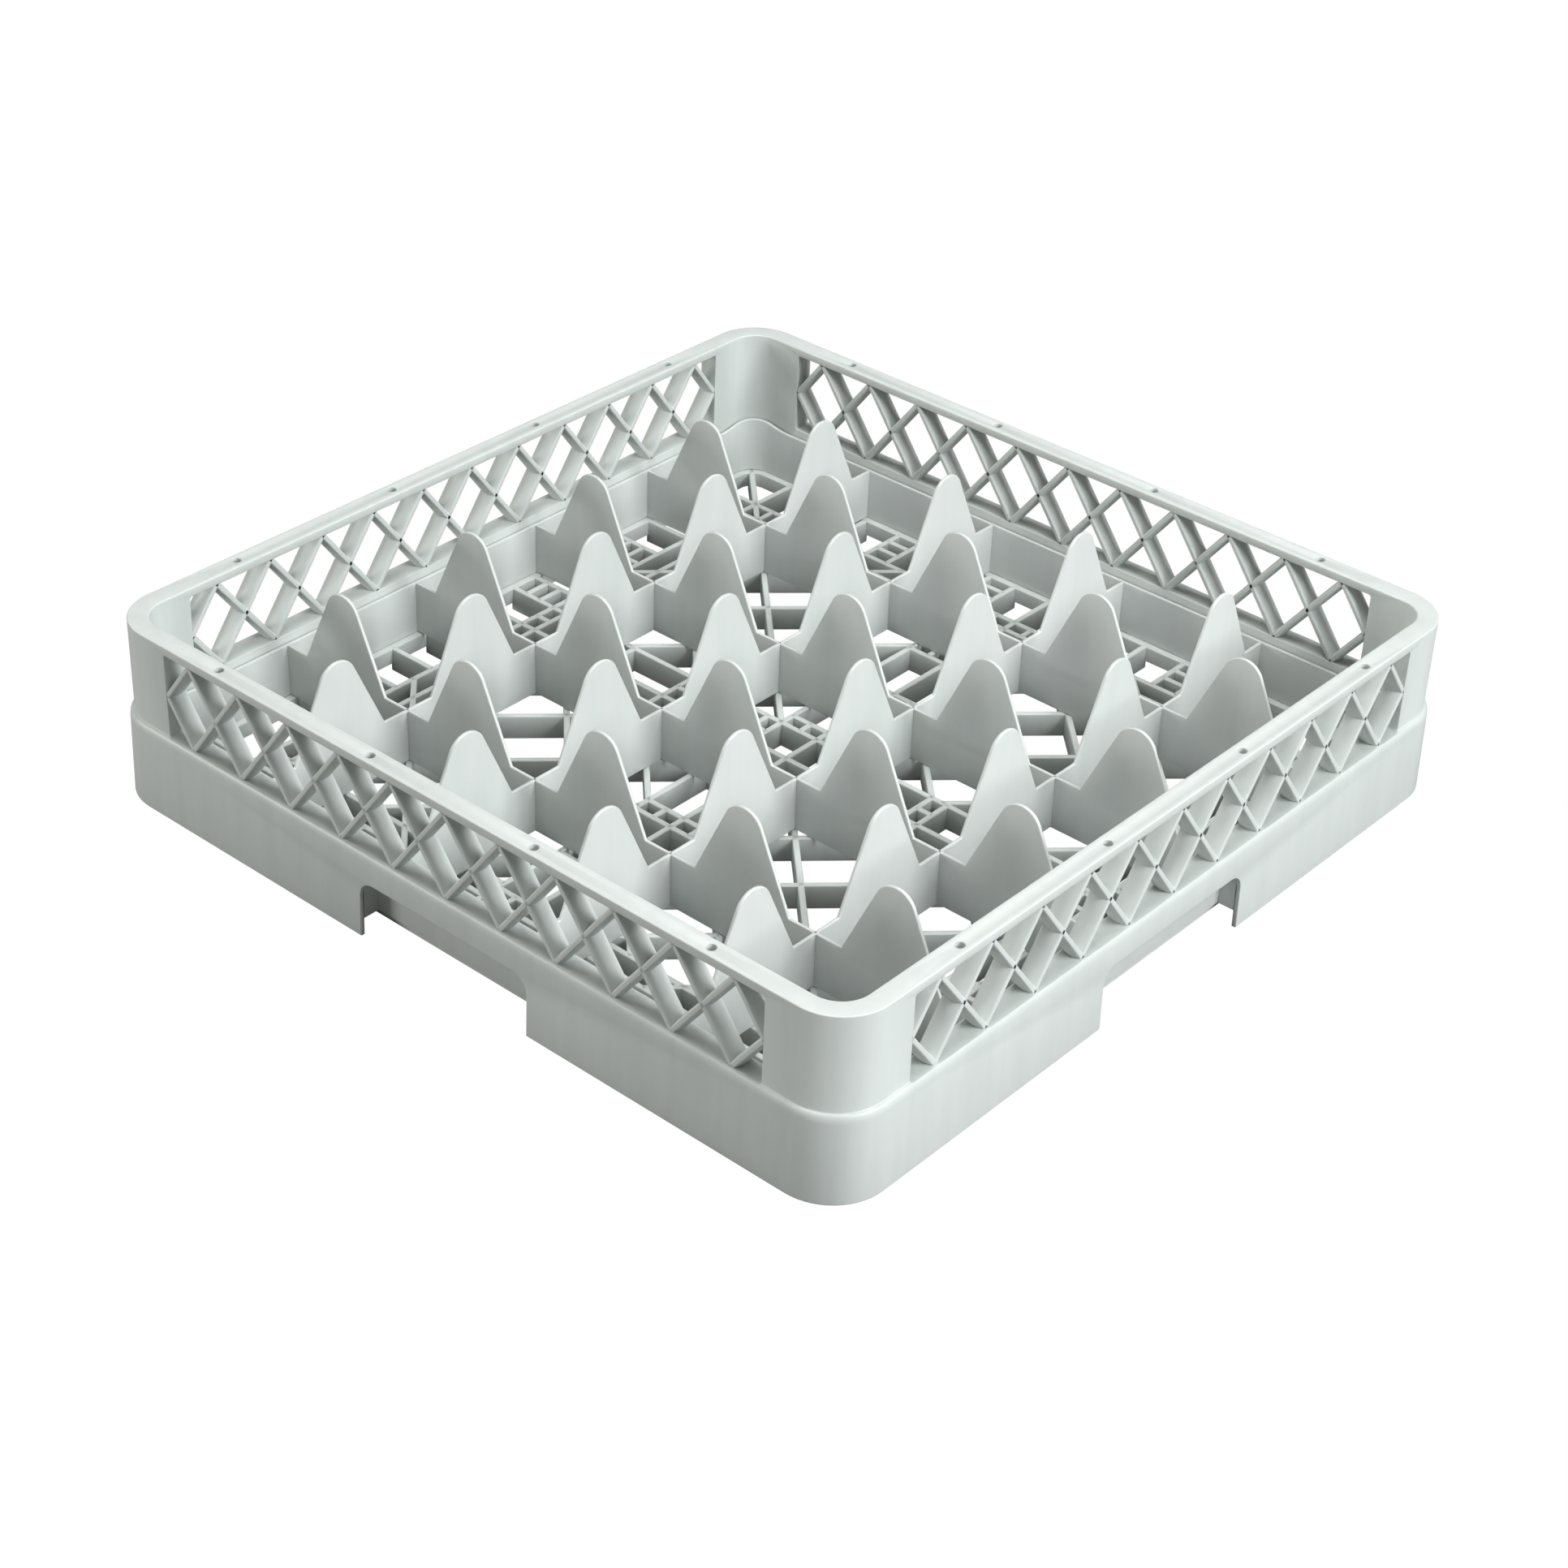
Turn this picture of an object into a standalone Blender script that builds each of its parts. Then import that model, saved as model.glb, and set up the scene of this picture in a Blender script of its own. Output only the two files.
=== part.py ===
"""Commercial dishwasher glass rack: square open rack with a lift-out divider of five by five compartments.

Origin at the centre of the base, +Z up, metres. The front wall is at -Y and the right wall at +X.
The rack body is modelled as a skirt, four corner posts, four lattice panels, a rim and a floor grid.
The divider is modelled as a perimeter band and eight slotted wavy strips that cross each other.
"""

import math

import bmesh
import bpy
from mathutils import Matrix, Vector

MM = 0.001
GAP = 0.3 * MM
SAME_POINT = 0.0003 * MM
HALF = 0.5
RIGHT_ANGLE = math.pi / 2
SIDES = ("front", "right", "back", "left")
CORNERS = ("front_right", "back_right", "back_left", "front_left")

# Outside of the rack
RACK_WIDTH = 500.0 * MM
RACK_HEIGHT = 103.0 * MM
CORNER_RADIUS = 31.3 * MM
CORNER_STEPS = 8
WALL_DEPTH = 14.7 * MM

# Upper wall, set back from the skirt
UPPER_INSET = 3.4 * MM
STEP_HEIGHT = 48.3 * MM
SKIRT_INSET_AT_STEP = 0.95 * MM

# Skirt, hollow underneath
SKIN = 2.5 * MM
SILL_ABOVE_STEP = 1.2 * MM
LIP_HEIGHT = 2.6 * MM
INNER_SKIN_FOOT = 9.5 * MM

# Hand-hold in the middle of each side
GRIP_HALF_WIDTH = 57.25 * MM
GRIP_HEIGHT = 33.5 * MM
GRIP_RADIUS = 4.0 * MM
GRIP_STEPS = 4
CUT_MARGIN = 1.0 * MM

# Lattice window in each wall
WINDOW_TO_CORNER = 18.2 * MM
WINDOW_BELOW_TOP = 4.8 * MM
LATTICE_PITCHES = 11
LATTICE_RIB = 2.8 * MM
PANEL_SIDE_STRIP = 3.0 * MM
RIM_THICKNESS = 3.2 * MM

# Round holes in the rim
RIM_HOLE_RADIUS = 2.25 * MM
RIM_HOLE_LINE_INSET = 8.7 * MM
RIM_HOLE_NEAR = 54.7 * MM
RIM_HOLE_PITCHES = (-3, -1, 1, 3)
RIM_HOLE_STEPS = 12

# Floor grid
FLOOR_TOP = 14.0 * MM
FLOOR_RIB = 3.4 * MM
FLOOR_BORDER_WIDTH = 7.3 * MM
FLOOR_BORDER_FOOT = 5.0 * MM
FLOOR_EDGE_STRIP = 30.5 * MM
FLOOR_FRAME_STEP = 14.0 * MM
FLOOR_ARM_LINE = 25.0 * MM
FLOOR_ARM_FIRST_LADDER = 9.5 * MM
FLOOR_ARM_LADDERS = ((79.3 * MM, 89.5 * MM), (134.0 * MM, 144.5 * MM))
FLOOR_ARM_LAST_LADDER = 10.0 * MM
FLOOR_ARM_RUNG = 12.3 * MM
FLOOR_DIAGONAL_PITCH = 61.0 * MM
FLOOR_DIAGONAL_COUNT = 2
FLOOR_CROSS_DIAGONALS = (104.5 * MM, 163.0 * MM, 221.5 * MM, 280.0 * MM)
FLOOR_EDGE_RIBS = (0.0, 25.0 * MM, 42.5 * MM, 68.5 * MM, 95.5 * MM, 111.5 * MM, 137.5 * MM)
FLOOR_EDGE_LADDERS = ((25.0 * MM, 42.5 * MM), (95.5 * MM, 111.5 * MM))
FLOOR_EDGE_RUNG_INSETS = (11.3 * MM, 21.7 * MM)
FLOOR_SMALLEST_HOLE = 2.5e-6
FLOOR_NARROWEST_HOLE = 1.5 * MM

# Divider insert
COMPARTMENTS = 5
STRIP_THICKNESS = 2.0 * MM
BAND_CLEARANCE = 1.1 * MM
BAND_FIT = 0.05 * MM
BAND_BELOW_STEP = 3.25 * MM
HUMP_BELOW_TOP = 8.8 * MM
HUMP_RADIUS = 12.0 * MM
HUMP_SLOPE = 2.18
HUMP_STEPS = 8
BAND_CORNER_RISE = 3.3 * MM
BAND_CORNER_LEG = 14.0 * MM
BAND_LEG_STEPS = 2

# Colours
RACK_COLOUR = (0.60, 0.63, 0.61, 1.0)
INSERT_COLOUR = (0.62, 0.65, 0.63, 1.0)
PLASTIC_ROUGHNESS = 0.45
SHARP_ANGLE = math.radians(30.0)

RACK_HALF = RACK_WIDTH * HALF
CORNER_CENTRE = RACK_HALF - CORNER_RADIUS
INNER_HALF = RACK_HALF - WALL_DEPTH
UPPER_OUT = RACK_HALF - UPPER_INSET
SKIRT_TOP = STEP_HEIGHT - LIP_HEIGHT
SILL_HEIGHT = STEP_HEIGHT + SILL_ABOVE_STEP
WINDOW_HALF_WIDTH = CORNER_CENTRE - WINDOW_TO_CORNER
WINDOW_TOP = RACK_HEIGHT - WINDOW_BELOW_TOP
PANEL_HALF_WIDTH = WINDOW_HALF_WIDTH + PANEL_SIDE_STRIP
PANEL_FOOT = SKIRT_TOP + GAP
PANEL_TOP = RACK_HEIGHT - RIM_THICKNESS - GAP
FLOOR_BORDER_INNER = INNER_HALF - FLOOR_BORDER_WIDTH
FLOOR_FRAME_LINE = FLOOR_BORDER_INNER - FLOOR_EDGE_STRIP
FLOOR_INNER_LINE = FLOOR_FRAME_LINE - FLOOR_FRAME_STEP
INSERT_FOOT = FLOOR_TOP + GAP
BAND_LINE = INNER_HALF - BAND_CLEARANCE - STRIP_THICKNESS * HALF
COMPARTMENT_PITCH = 2 * (BAND_LINE + BAND_FIT) / COMPARTMENTS
FLAT_LEVEL = STEP_HEIGHT - BAND_BELOW_STEP
HUMP_PEAK = RACK_HEIGHT - HUMP_BELOW_TOP


def start_clean():
    """Removes what the file opens with and makes the two collections."""
    for thing in list(bpy.data.objects):
        bpy.data.objects.remove(thing)
    for name in ("glass_rack", "cutters"):
        group = bpy.data.collections.new(name)
        bpy.context.scene.collection.children.link(group)


def plastic(name, colour):
    """Satin moulded plastic."""
    surface = bpy.data.materials.new(name)
    surface.use_nodes = True
    shader = surface.node_tree.nodes["Principled BSDF"]
    shader.inputs["Base Color"].default_value = colour
    shader.inputs["Roughness"].default_value = PLASTIC_ROUGHNESS
    shader.inputs["Metallic"].default_value = 0.0
    return surface


def place(name, mesh, turns=0):
    """Adds an object for the mesh, turned about the rack's centre by a number of right angles."""
    thing = bpy.data.objects.new(name, mesh)
    thing.rotation_euler = (0.0, 0.0, turns * RIGHT_ANGLE)
    bpy.data.collections["glass_rack"].objects.link(thing)
    return thing


def finish_mesh(name, builder):
    """Closes a bmesh into mesh data with its faces outward."""
    bmesh.ops.recalc_face_normals(builder, faces=builder.faces)
    if builder.calc_volume(signed=True) < 0.0:
        bmesh.ops.reverse_faces(builder, faces=builder.faces)
    mesh = bpy.data.meshes.new(name)
    builder.to_mesh(mesh)
    builder.free()
    return mesh


def filled_outlines(name, outlines, thickness):
    """Thick flat sheet in the local XY plane: the first outline is the edge and the rest are holes."""
    curve = bpy.data.curves.new(name, "CURVE")
    curve.dimensions = "2D"
    curve.fill_mode = "BOTH"
    curve.extrude = thickness * HALF
    for outline in outlines:
        spline = curve.splines.new("POLY")
        spline.points.add(len(outline) - 1)
        for point, (along, up) in zip(spline.points, outline):
            point.co = (along, up, 0.0, 1.0)
        spline.use_cyclic_u = True
    carrier = bpy.data.objects.new(name, curve)
    bpy.data.collections["cutters"].objects.link(carrier)
    bpy.context.view_layer.update()
    graph = bpy.context.evaluated_depsgraph_get()
    mesh = bpy.data.meshes.new_from_object(carrier.evaluated_get(graph))
    bpy.data.objects.remove(carrier)
    builder = bmesh.new()
    builder.from_mesh(mesh)
    bpy.data.meshes.remove(mesh)
    bmesh.ops.remove_doubles(builder, verts=builder.verts, dist=SAME_POINT)
    return builder


def swept(name, section, moves):
    """Solid made by carrying a closed section (distance out, height) through a list of moves.

    The first move places the section, which starts on the front wall at the middle of the rack.
    """
    builder = bmesh.new()
    start = moves[0]
    cap = builder.faces.new([builder.verts.new(start @ Vector((0.0, -out, up))) for out, up in section])
    for count, move in enumerate(moves[1:]):
        result = bmesh.ops.extrude_face_region(builder, geom=[cap], use_keep_orig=True)["geom"]
        if count:
            bmesh.ops.delete(builder, geom=[cap], context="FACES_ONLY")
        cap = next(item for item in result if isinstance(item, bmesh.types.BMFace))
        bmesh.ops.transform(builder, matrix=move, verts=list(cap.verts))
    return finish_mesh(name, builder)


def turn_at_corner(angle):
    """Rotation about the upright axis of the front right corner."""
    centre = Vector((CORNER_CENTRE, -CORNER_CENTRE, 0.0))
    return Matrix.Translation(centre) @ Matrix.Rotation(angle, 4, "Z") @ Matrix.Translation(-centre)


def corner_moves(leg):
    """Moves that carry a section round the front right corner with a straight leg either side."""
    step = turn_at_corner(RIGHT_ANGLE / CORNER_STEPS)
    moves = [Matrix.Translation((CORNER_CENTRE - leg, 0.0, 0.0))]
    if leg:
        moves.append(Matrix.Translation((leg, 0.0, 0.0)))
    moves.extend([step] * CORNER_STEPS)
    if leg:
        moves.append(Matrix.Translation((0.0, leg, 0.0)))
    return moves


def carve(thing, cutter_name, cutter_mesh, turns=0, solver="EXACT"):
    """Takes the cutter's shape out of the object."""
    cutter = bpy.data.objects.new(cutter_name, cutter_mesh)
    cutter.rotation_euler = (0.0, 0.0, turns * RIGHT_ANGLE)
    cutter.hide_render = True
    cutter.display_type = "WIRE"
    bpy.data.collections["cutters"].objects.link(cutter)
    cut = thing.modifiers.new(cutter_name, "BOOLEAN")
    cut.operation = "DIFFERENCE"
    cut.solver = solver
    cut.object = cutter


def rounded_square(half_width):
    """Outline of a square whose corners turn about the rack's corner centres."""
    radius = half_width - CORNER_CENTRE
    outline = []
    for corner in range(len(CORNERS)):
        for step in range(CORNER_STEPS + 1):
            angle = (corner - 1 + step / CORNER_STEPS) * RIGHT_ANGLE
            middle = (corner - HALF) * RIGHT_ANGLE
            along = math.copysign(CORNER_CENTRE, math.cos(middle)) + radius * math.cos(angle)
            up = math.copysign(CORNER_CENTRE, math.sin(middle)) + radius * math.sin(angle)
            outline.append((along, up))
    return outline


def ring_of_points(centre, radius, count):
    """Points round a circle."""
    turn = 2 * math.pi / count
    return [(centre[0] + radius * math.cos(turn * index), centre[1] + radius * math.sin(turn * index))
            for index in range(count)]


def build_rim():
    """Flat band round the top with four round holes in each side."""
    line = RACK_HALF - RIM_HOLE_LINE_INSET
    outlines = [rounded_square(UPPER_OUT), rounded_square(INNER_HALF)]
    for pitch in RIM_HOLE_PITCHES:
        along = pitch * RIM_HOLE_NEAR
        for centre in ((along, -line), (along, line), (-line, along), (line, along)):
            outlines.append(ring_of_points(centre, RIM_HOLE_RADIUS, RIM_HOLE_STEPS))
    builder = filled_outlines("rim", outlines, RIM_THICKNESS)
    bmesh.ops.translate(builder, vec=(0.0, 0.0, RACK_HEIGHT - RIM_THICKNESS * HALF), verts=builder.verts)
    place("rim", finish_mesh("rim", builder))


def lattice_openings():
    """Diamonds, triangles and half triangles left open between two sets of crossing ribs."""
    half_pitch = WINDOW_HALF_WIDTH / LATTICE_PITCHES
    half_height = (WINDOW_TOP - SILL_HEIGHT) * HALF
    reach = half_pitch * half_height / math.hypot(half_pitch, half_height)
    shrink = (reach - LATTICE_RIB * HALF) / reach
    wide = half_pitch * shrink
    tall = half_height * shrink
    middle = SILL_HEIGHT + half_height
    openings = []
    for index in range(LATTICE_PITCHES):
        centre = (2 * index + 1 - LATTICE_PITCHES) * half_pitch
        openings.append([(centre - wide, middle), (centre, middle - tall), (centre + wide, middle),
                         (centre, middle + tall)])
    for level, lift in ((SILL_HEIGHT, tall), (WINDOW_TOP, -tall)):
        for index in range(LATTICE_PITCHES - 1):
            centre = (2 * index + 2 - LATTICE_PITCHES) * half_pitch
            openings.append([(centre - wide, level), (centre + wide, level), (centre, level + lift)])
        for end in (-1, 1):
            edge = end * WINDOW_HALF_WIDTH
            openings.append([(edge, level), (edge - end * wide, level), (edge, level + lift)])
    return openings


def build_lattice_panels():
    """The four window panels: one shape, turned to each side."""
    edge = [(-PANEL_HALF_WIDTH, PANEL_FOOT), (PANEL_HALF_WIDTH, PANEL_FOOT),
            (PANEL_HALF_WIDTH, PANEL_TOP), (-PANEL_HALF_WIDTH, PANEL_TOP)]
    builder = filled_outlines("lattice", [edge] + lattice_openings(), WALL_DEPTH)
    for vert in builder.verts:
        out = UPPER_OUT if vert.co.z > 0.0 else INNER_HALF
        vert.co = (vert.co.x, -out, vert.co.y)
    mesh = finish_mesh("lattice", builder)
    for turns, side in enumerate(SIDES):
        place("lattice_" + side, mesh, turns)


def build_corner_posts():
    """Solid rounded posts between the window panels."""
    section = [(INNER_HALF, PANEL_FOOT), (UPPER_OUT, PANEL_FOOT),
               (UPPER_OUT, PANEL_TOP), (INNER_HALF, PANEL_TOP)]
    leg = CORNER_CENTRE - PANEL_HALF_WIDTH - GAP
    mesh = swept("corner_post", section, corner_moves(leg))
    for turns, corner in enumerate(CORNERS):
        place("corner_post_" + corner, mesh, turns)


def skirt_shell():
    """Outside, ledge and inner face of the skirt, clockwise from the bottom outer edge."""
    lip = UPPER_OUT + GAP
    return [(RACK_HALF, 0.0), (RACK_HALF - SKIRT_INSET_AT_STEP, STEP_HEIGHT), (lip, STEP_HEIGHT),
            (lip, SKIRT_TOP), (INNER_HALF, SKIRT_TOP), (INNER_HALF, INNER_SKIN_FOOT)]


def skirt_hollow():
    """Inside of the channel, from its top down to the bottom edge of the outer skin."""
    web = SKIRT_TOP - SKIN
    return [(INNER_HALF + SKIN, INNER_SKIN_FOOT), (INNER_HALF + SKIN, web),
            (RACK_HALF - SKIN - SKIRT_INSET_AT_STEP, web), (RACK_HALF - SKIN, 0.0)]


def grip_outline():
    """Hand-hold shape: straight sides, rounded top corners, open below the base."""
    outline = [(-GRIP_HALF_WIDTH, -CUT_MARGIN), (GRIP_HALF_WIDTH, -CUT_MARGIN)]
    for end in (1, -1):
        centre = end * (GRIP_HALF_WIDTH - GRIP_RADIUS)
        for step in range(GRIP_STEPS + 1):
            part = step / GRIP_STEPS if end > 0 else 1.0 - step / GRIP_STEPS
            angle = part * RIGHT_ANGLE
            outline.append((centre + end * GRIP_RADIUS * math.cos(angle),
                            GRIP_HEIGHT - GRIP_RADIUS + GRIP_RADIUS * math.sin(angle)))
    return outline


def build_skirt():
    """Four sides with a hand-hold each, and four hollow corners."""
    side_half = CORNER_CENTRE - GAP
    foot = [(RACK_HALF - SKIN, 0.0), (RACK_HALF - SKIN, INNER_SKIN_FOOT)]
    run = [Matrix.Translation((-side_half, 0.0, 0.0)), Matrix.Translation((2 * side_half, 0.0, 0.0))]
    side_mesh = swept("skirt_side", skirt_shell() + foot[::-1], run)
    jamb = GRIP_HALF_WIDTH + SKIN
    (inside, _), *roof, (outside, _) = skirt_hollow()
    hollow = [(inside, -CUT_MARGIN), *roof, (outside, -CUT_MARGIN)]
    reach = side_half + CUT_MARGIN
    channel_run = [Matrix.Translation((jamb, 0.0, 0.0)), Matrix.Translation((reach - jamb, 0.0, 0.0))]
    channel = swept("skirt_channel", hollow, channel_run)
    channel_run[0] = Matrix.Translation((-reach, 0.0, 0.0))
    other_channel = swept("skirt_channel_left", hollow, channel_run)
    grip_depth = RACK_HALF + CUT_MARGIN - INNER_HALF - SKIN
    builder = filled_outlines("grip", [grip_outline()], grip_depth)
    for vert in builder.verts:
        vert.co = (vert.co.x, -(INNER_HALF + SKIN + grip_depth * HALF) + vert.co.z, vert.co.y)
    grip = finish_mesh("grip", builder)
    for turns, side in enumerate(SIDES):
        skirt = place("skirt_" + side, side_mesh, turns)
        carve(skirt, "channel_right_of_" + side, channel, turns)
        carve(skirt, "channel_left_of_" + side, other_channel, turns)
        carve(skirt, "grip_" + side, grip, turns)
    corner_mesh = swept("skirt_corner", skirt_shell() + skirt_hollow(), corner_moves(0.0))
    for turns, corner in enumerate(CORNERS):
        place("skirt_corner_" + corner, corner_mesh, turns)


def keep_side(polygon, normal, limit):
    """Part of a convex outline where the distance along the normal is above the limit."""
    kept = []
    for index, point in enumerate(polygon):
        following = polygon[(index + 1) % len(polygon)]
        here = point[0] * normal[0] + point[1] * normal[1] - limit
        there = following[0] * normal[0] + following[1] * normal[1] - limit
        if here > 0.0:
            kept.append(point)
        if here * there < 0.0:
            share = here / (here - there)
            kept.append(tuple(a + (b - a) * share for a, b in zip(point, following)))
    return [point for index, point in enumerate(kept) if math.dist(point, kept[index - 1]) > GAP]


def split_by_ribs(cells, ribs):
    """Cuts a rib's width out of every cell it crosses; a rib is a unit normal and a distance."""
    for normal, distance in ribs:
        halves = []
        for cell in cells:
            halves.append(keep_side(cell, normal, distance + FLOOR_RIB * HALF))
            back = (-normal[0], -normal[1])
            halves.append(keep_side(cell, back, -distance + FLOOR_RIB * HALF))
        cells = [cell for cell in halves if len(cell) > 2]
    return cells


def outline_area(cell):
    """Area inside an outline."""
    total = 0.0
    for index, point in enumerate(cell):
        following = cell[(index + 1) % len(cell)]
        total += point[0] * following[1] - following[0] * point[1]
    return abs(total) * HALF


def outline_girth(cell):
    """Length round an outline."""
    return sum(math.dist(point, cell[(index + 1) % len(cell)]) for index, point in enumerate(cell))


def rectangle(low_x, high_x, low_y, high_y):
    """Outline of an area between rib lines, drawn in by half a rib on each side."""
    half = FLOOR_RIB * HALF
    return [(low_x + half, low_y + half), (high_x - half, low_y + half),
            (high_x - half, high_y - half), (low_x + half, high_y - half)]


def upright_ribs(places):
    """Ribs that run along Y."""
    return [((1.0, 0.0), place_x) for place_x in places]


def level_ribs(places):
    """Ribs that run along X."""
    return [((0.0, 1.0), place_y) for place_y in places]


def floor_openings():
    """Openings of the middle, of one arm, of one edge strip, of one quarter block and of one corner."""
    root = math.sqrt(HALF)
    border = FLOOR_BORDER_INNER + FLOOR_RIB * HALF
    arm, frame = FLOOR_ARM_LINE, FLOOR_FRAME_LINE
    middle = split_by_ribs([rectangle(-arm, arm, -arm, arm)], upright_ribs((0.0,)) + level_ribs((0.0,)))
    pairs = [(arm, arm + FLOOR_ARM_FIRST_LADDER), (frame - FLOOR_ARM_LAST_LADDER, frame)]
    pairs = sorted(pairs + list(FLOOR_ARM_LADDERS))
    ladders = {low for low, _ in pairs}
    stops = sorted(place for pair in pairs for place in pair)
    arm_cells = []
    for low, high in zip(stops, stops[1:]):
        ribs = [0.0, FLOOR_ARM_RUNG, -FLOOR_ARM_RUNG] if low in ladders else [0.0]
        arm_cells += split_by_ribs([rectangle(-arm, arm, low, high)], upright_ribs(ribs))
    edge_cells = []
    stops = FLOOR_EDGE_RIBS + (frame,)
    ladders = {low for low, _ in FLOOR_EDGE_LADDERS}
    for low, high in zip(stops, stops[1:]):
        ribs = level_ribs([frame + inset for inset in FLOOR_EDGE_RUNG_INSETS]) if low in ladders else []
        cells = split_by_ribs([rectangle(low, high, frame, border)], ribs)
        edge_cells += cells + [[(-along, up) for along, up in cell] for cell in cells]
    diagonals = [((root, -root), index * FLOOR_DIAGONAL_PITCH * root)
                 for index in range(-FLOOR_DIAGONAL_COUNT, FLOOR_DIAGONAL_COUNT + 1)]
    diagonals += [((root, root), total * root) for total in FLOOR_CROSS_DIAGONALS]
    inner = split_by_ribs([rectangle(arm, FLOOR_INNER_LINE, arm, FLOOR_INNER_LINE)], diagonals)
    outer = split_by_ribs([rectangle(FLOOR_INNER_LINE, frame, arm, FLOOR_INNER_LINE),
                           rectangle(arm, FLOOR_INNER_LINE, FLOOR_INNER_LINE, frame)],
                          [((root, root), FLOOR_CROSS_DIAGONALS[-1] * root)])
    tie = split_by_ribs([rectangle(FLOOR_INNER_LINE, frame, FLOOR_INNER_LINE, frame)],
                        [((root, -root), 0.0)])
    corner = split_by_ribs([rectangle(frame, border, frame, border)], [((root, -root), 0.0)])
    reach = CORNER_CENTRE * 2 * root + border - CORNER_CENTRE - FLOOR_RIB
    corner = [keep_side(cell, (-root, -root), -reach) for cell in corner]
    return middle, arm_cells + edge_cells, inner + outer + tie + corner


def build_floor():
    """Open grid the glasses stand on, its border raised clear of the table."""
    middle, arm_and_edge, quarter = floor_openings()
    cells = list(middle)
    for cell in arm_and_edge + quarter:
        for turns in range(len(SIDES)):
            spin = Matrix.Rotation(turns * RIGHT_ANGLE, 2)
            cells.append([tuple(spin @ Vector(point)) for point in cell])
    kept = [cell for cell in cells if outline_area(cell) > FLOOR_SMALLEST_HOLE
            and outline_area(cell) / outline_girth(cell) > FLOOR_NARROWEST_HOLE * HALF]
    outlines = [rounded_square(INNER_HALF - GAP)] + kept
    builder = filled_outlines("floor_grid", outlines, FLOOR_TOP)
    bmesh.ops.translate(builder, vec=(0.0, 0.0, FLOOR_TOP * HALF), verts=builder.verts)
    floor = place("floor_grid", finish_mesh("floor_grid", builder))
    inside = FLOOR_BORDER_INNER - CUT_MARGIN
    trench = filled_outlines("border_clearance", [rounded_square(RACK_HALF), rounded_square(inside)],
                             FLOOR_BORDER_FOOT * 2)
    carve(floor, "border_clearance", finish_mesh("border_clearance", trench), solver="MANIFOLD")


def wavy_top(half_length):
    """Top edge of a divider strip from its right end to its left: flats with one hump per compartment."""
    tilt = math.atan(HUMP_SLOPE)
    rise = HUMP_PEAK - HUMP_RADIUS
    foot = HUMP_RADIUS * math.sin(tilt) + (rise + HUMP_RADIUS * math.cos(tilt) - FLAT_LEVEL) / HUMP_SLOPE
    edge = [(half_length, FLAT_LEVEL)]
    for index in reversed(range(COMPARTMENTS)):
        centre = (index - (COMPARTMENTS - 1) * HALF) * COMPARTMENT_PITCH
        edge.append((centre + foot, FLAT_LEVEL))
        for step in range(HUMP_STEPS + 1):
            angle = tilt - 2 * tilt * step / HUMP_STEPS
            edge.append((centre + HUMP_RADIUS * math.sin(angle), rise + HUMP_RADIUS * math.cos(angle)))
        edge.append((centre - foot, FLAT_LEVEL))
    edge.append((-half_length, FLAT_LEVEL))
    return edge


def strip_outline(slots_from_top):
    """Divider strip with a slot at each crossing, open at the top or at the bottom edge."""
    half_length = BAND_LINE - STRIP_THICKNESS * HALF - GAP
    slot_half = STRIP_THICKNESS * HALF + GAP
    halfway = (INSERT_FOOT + FLAT_LEVEL) * HALF
    depth = halfway - GAP * HALF if slots_from_top else halfway + GAP * HALF
    crossings = [(index + 1 - COMPARTMENTS * HALF) * COMPARTMENT_PITCH for index in range(COMPARTMENTS - 1)]
    bottom = [(-half_length, INSERT_FOOT)]
    if not slots_from_top:
        for centre in crossings:
            bottom += [(centre - slot_half, INSERT_FOOT), (centre - slot_half, depth),
                       (centre + slot_half, depth), (centre + slot_half, INSERT_FOOT)]
    bottom.append((half_length, INSERT_FOOT))
    top = wavy_top(half_length)
    if slots_from_top:
        for centre in crossings:
            notch = [(centre + slot_half, FLAT_LEVEL), (centre + slot_half, depth),
                     (centre - slot_half, depth), (centre - slot_half, FLAT_LEVEL)]
            after = next(index for index, point in enumerate(top) if point[0] < centre)
            top[after:after] = notch
    return bottom + top


def build_strips():
    """Four strips across the rack slotted from above, and four along it slotted from below."""
    for way, turns, slots_from_top in (("across", 0, True), ("along", 1, False)):
        builder = filled_outlines("divider_" + way, [strip_outline(slots_from_top)], STRIP_THICKNESS)
        for vert in builder.verts:
            vert.co = (vert.co.x, -vert.co.z, vert.co.y)
        mesh = finish_mesh("divider_" + way, builder)
        for index in range(COMPARTMENTS - 1):
            offset = (index + 1 - COMPARTMENTS * HALF) * COMPARTMENT_PITCH
            strip = place("divider_{}_{}".format(way, index + 1), mesh, turns)
            strip.location = (0.0, offset, 0.0) if turns == 0 else (offset, 0.0, 0.0)


def band_rise(along, arc):
    """Height the band's top gains at a distance along the corner, highest at the middle."""
    reach = BAND_CORNER_LEG + arc * HALF
    share = min(1.0, abs(along) / reach)
    return BAND_CORNER_RISE * HALF * (1.0 + math.cos(math.pi * share))


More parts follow.
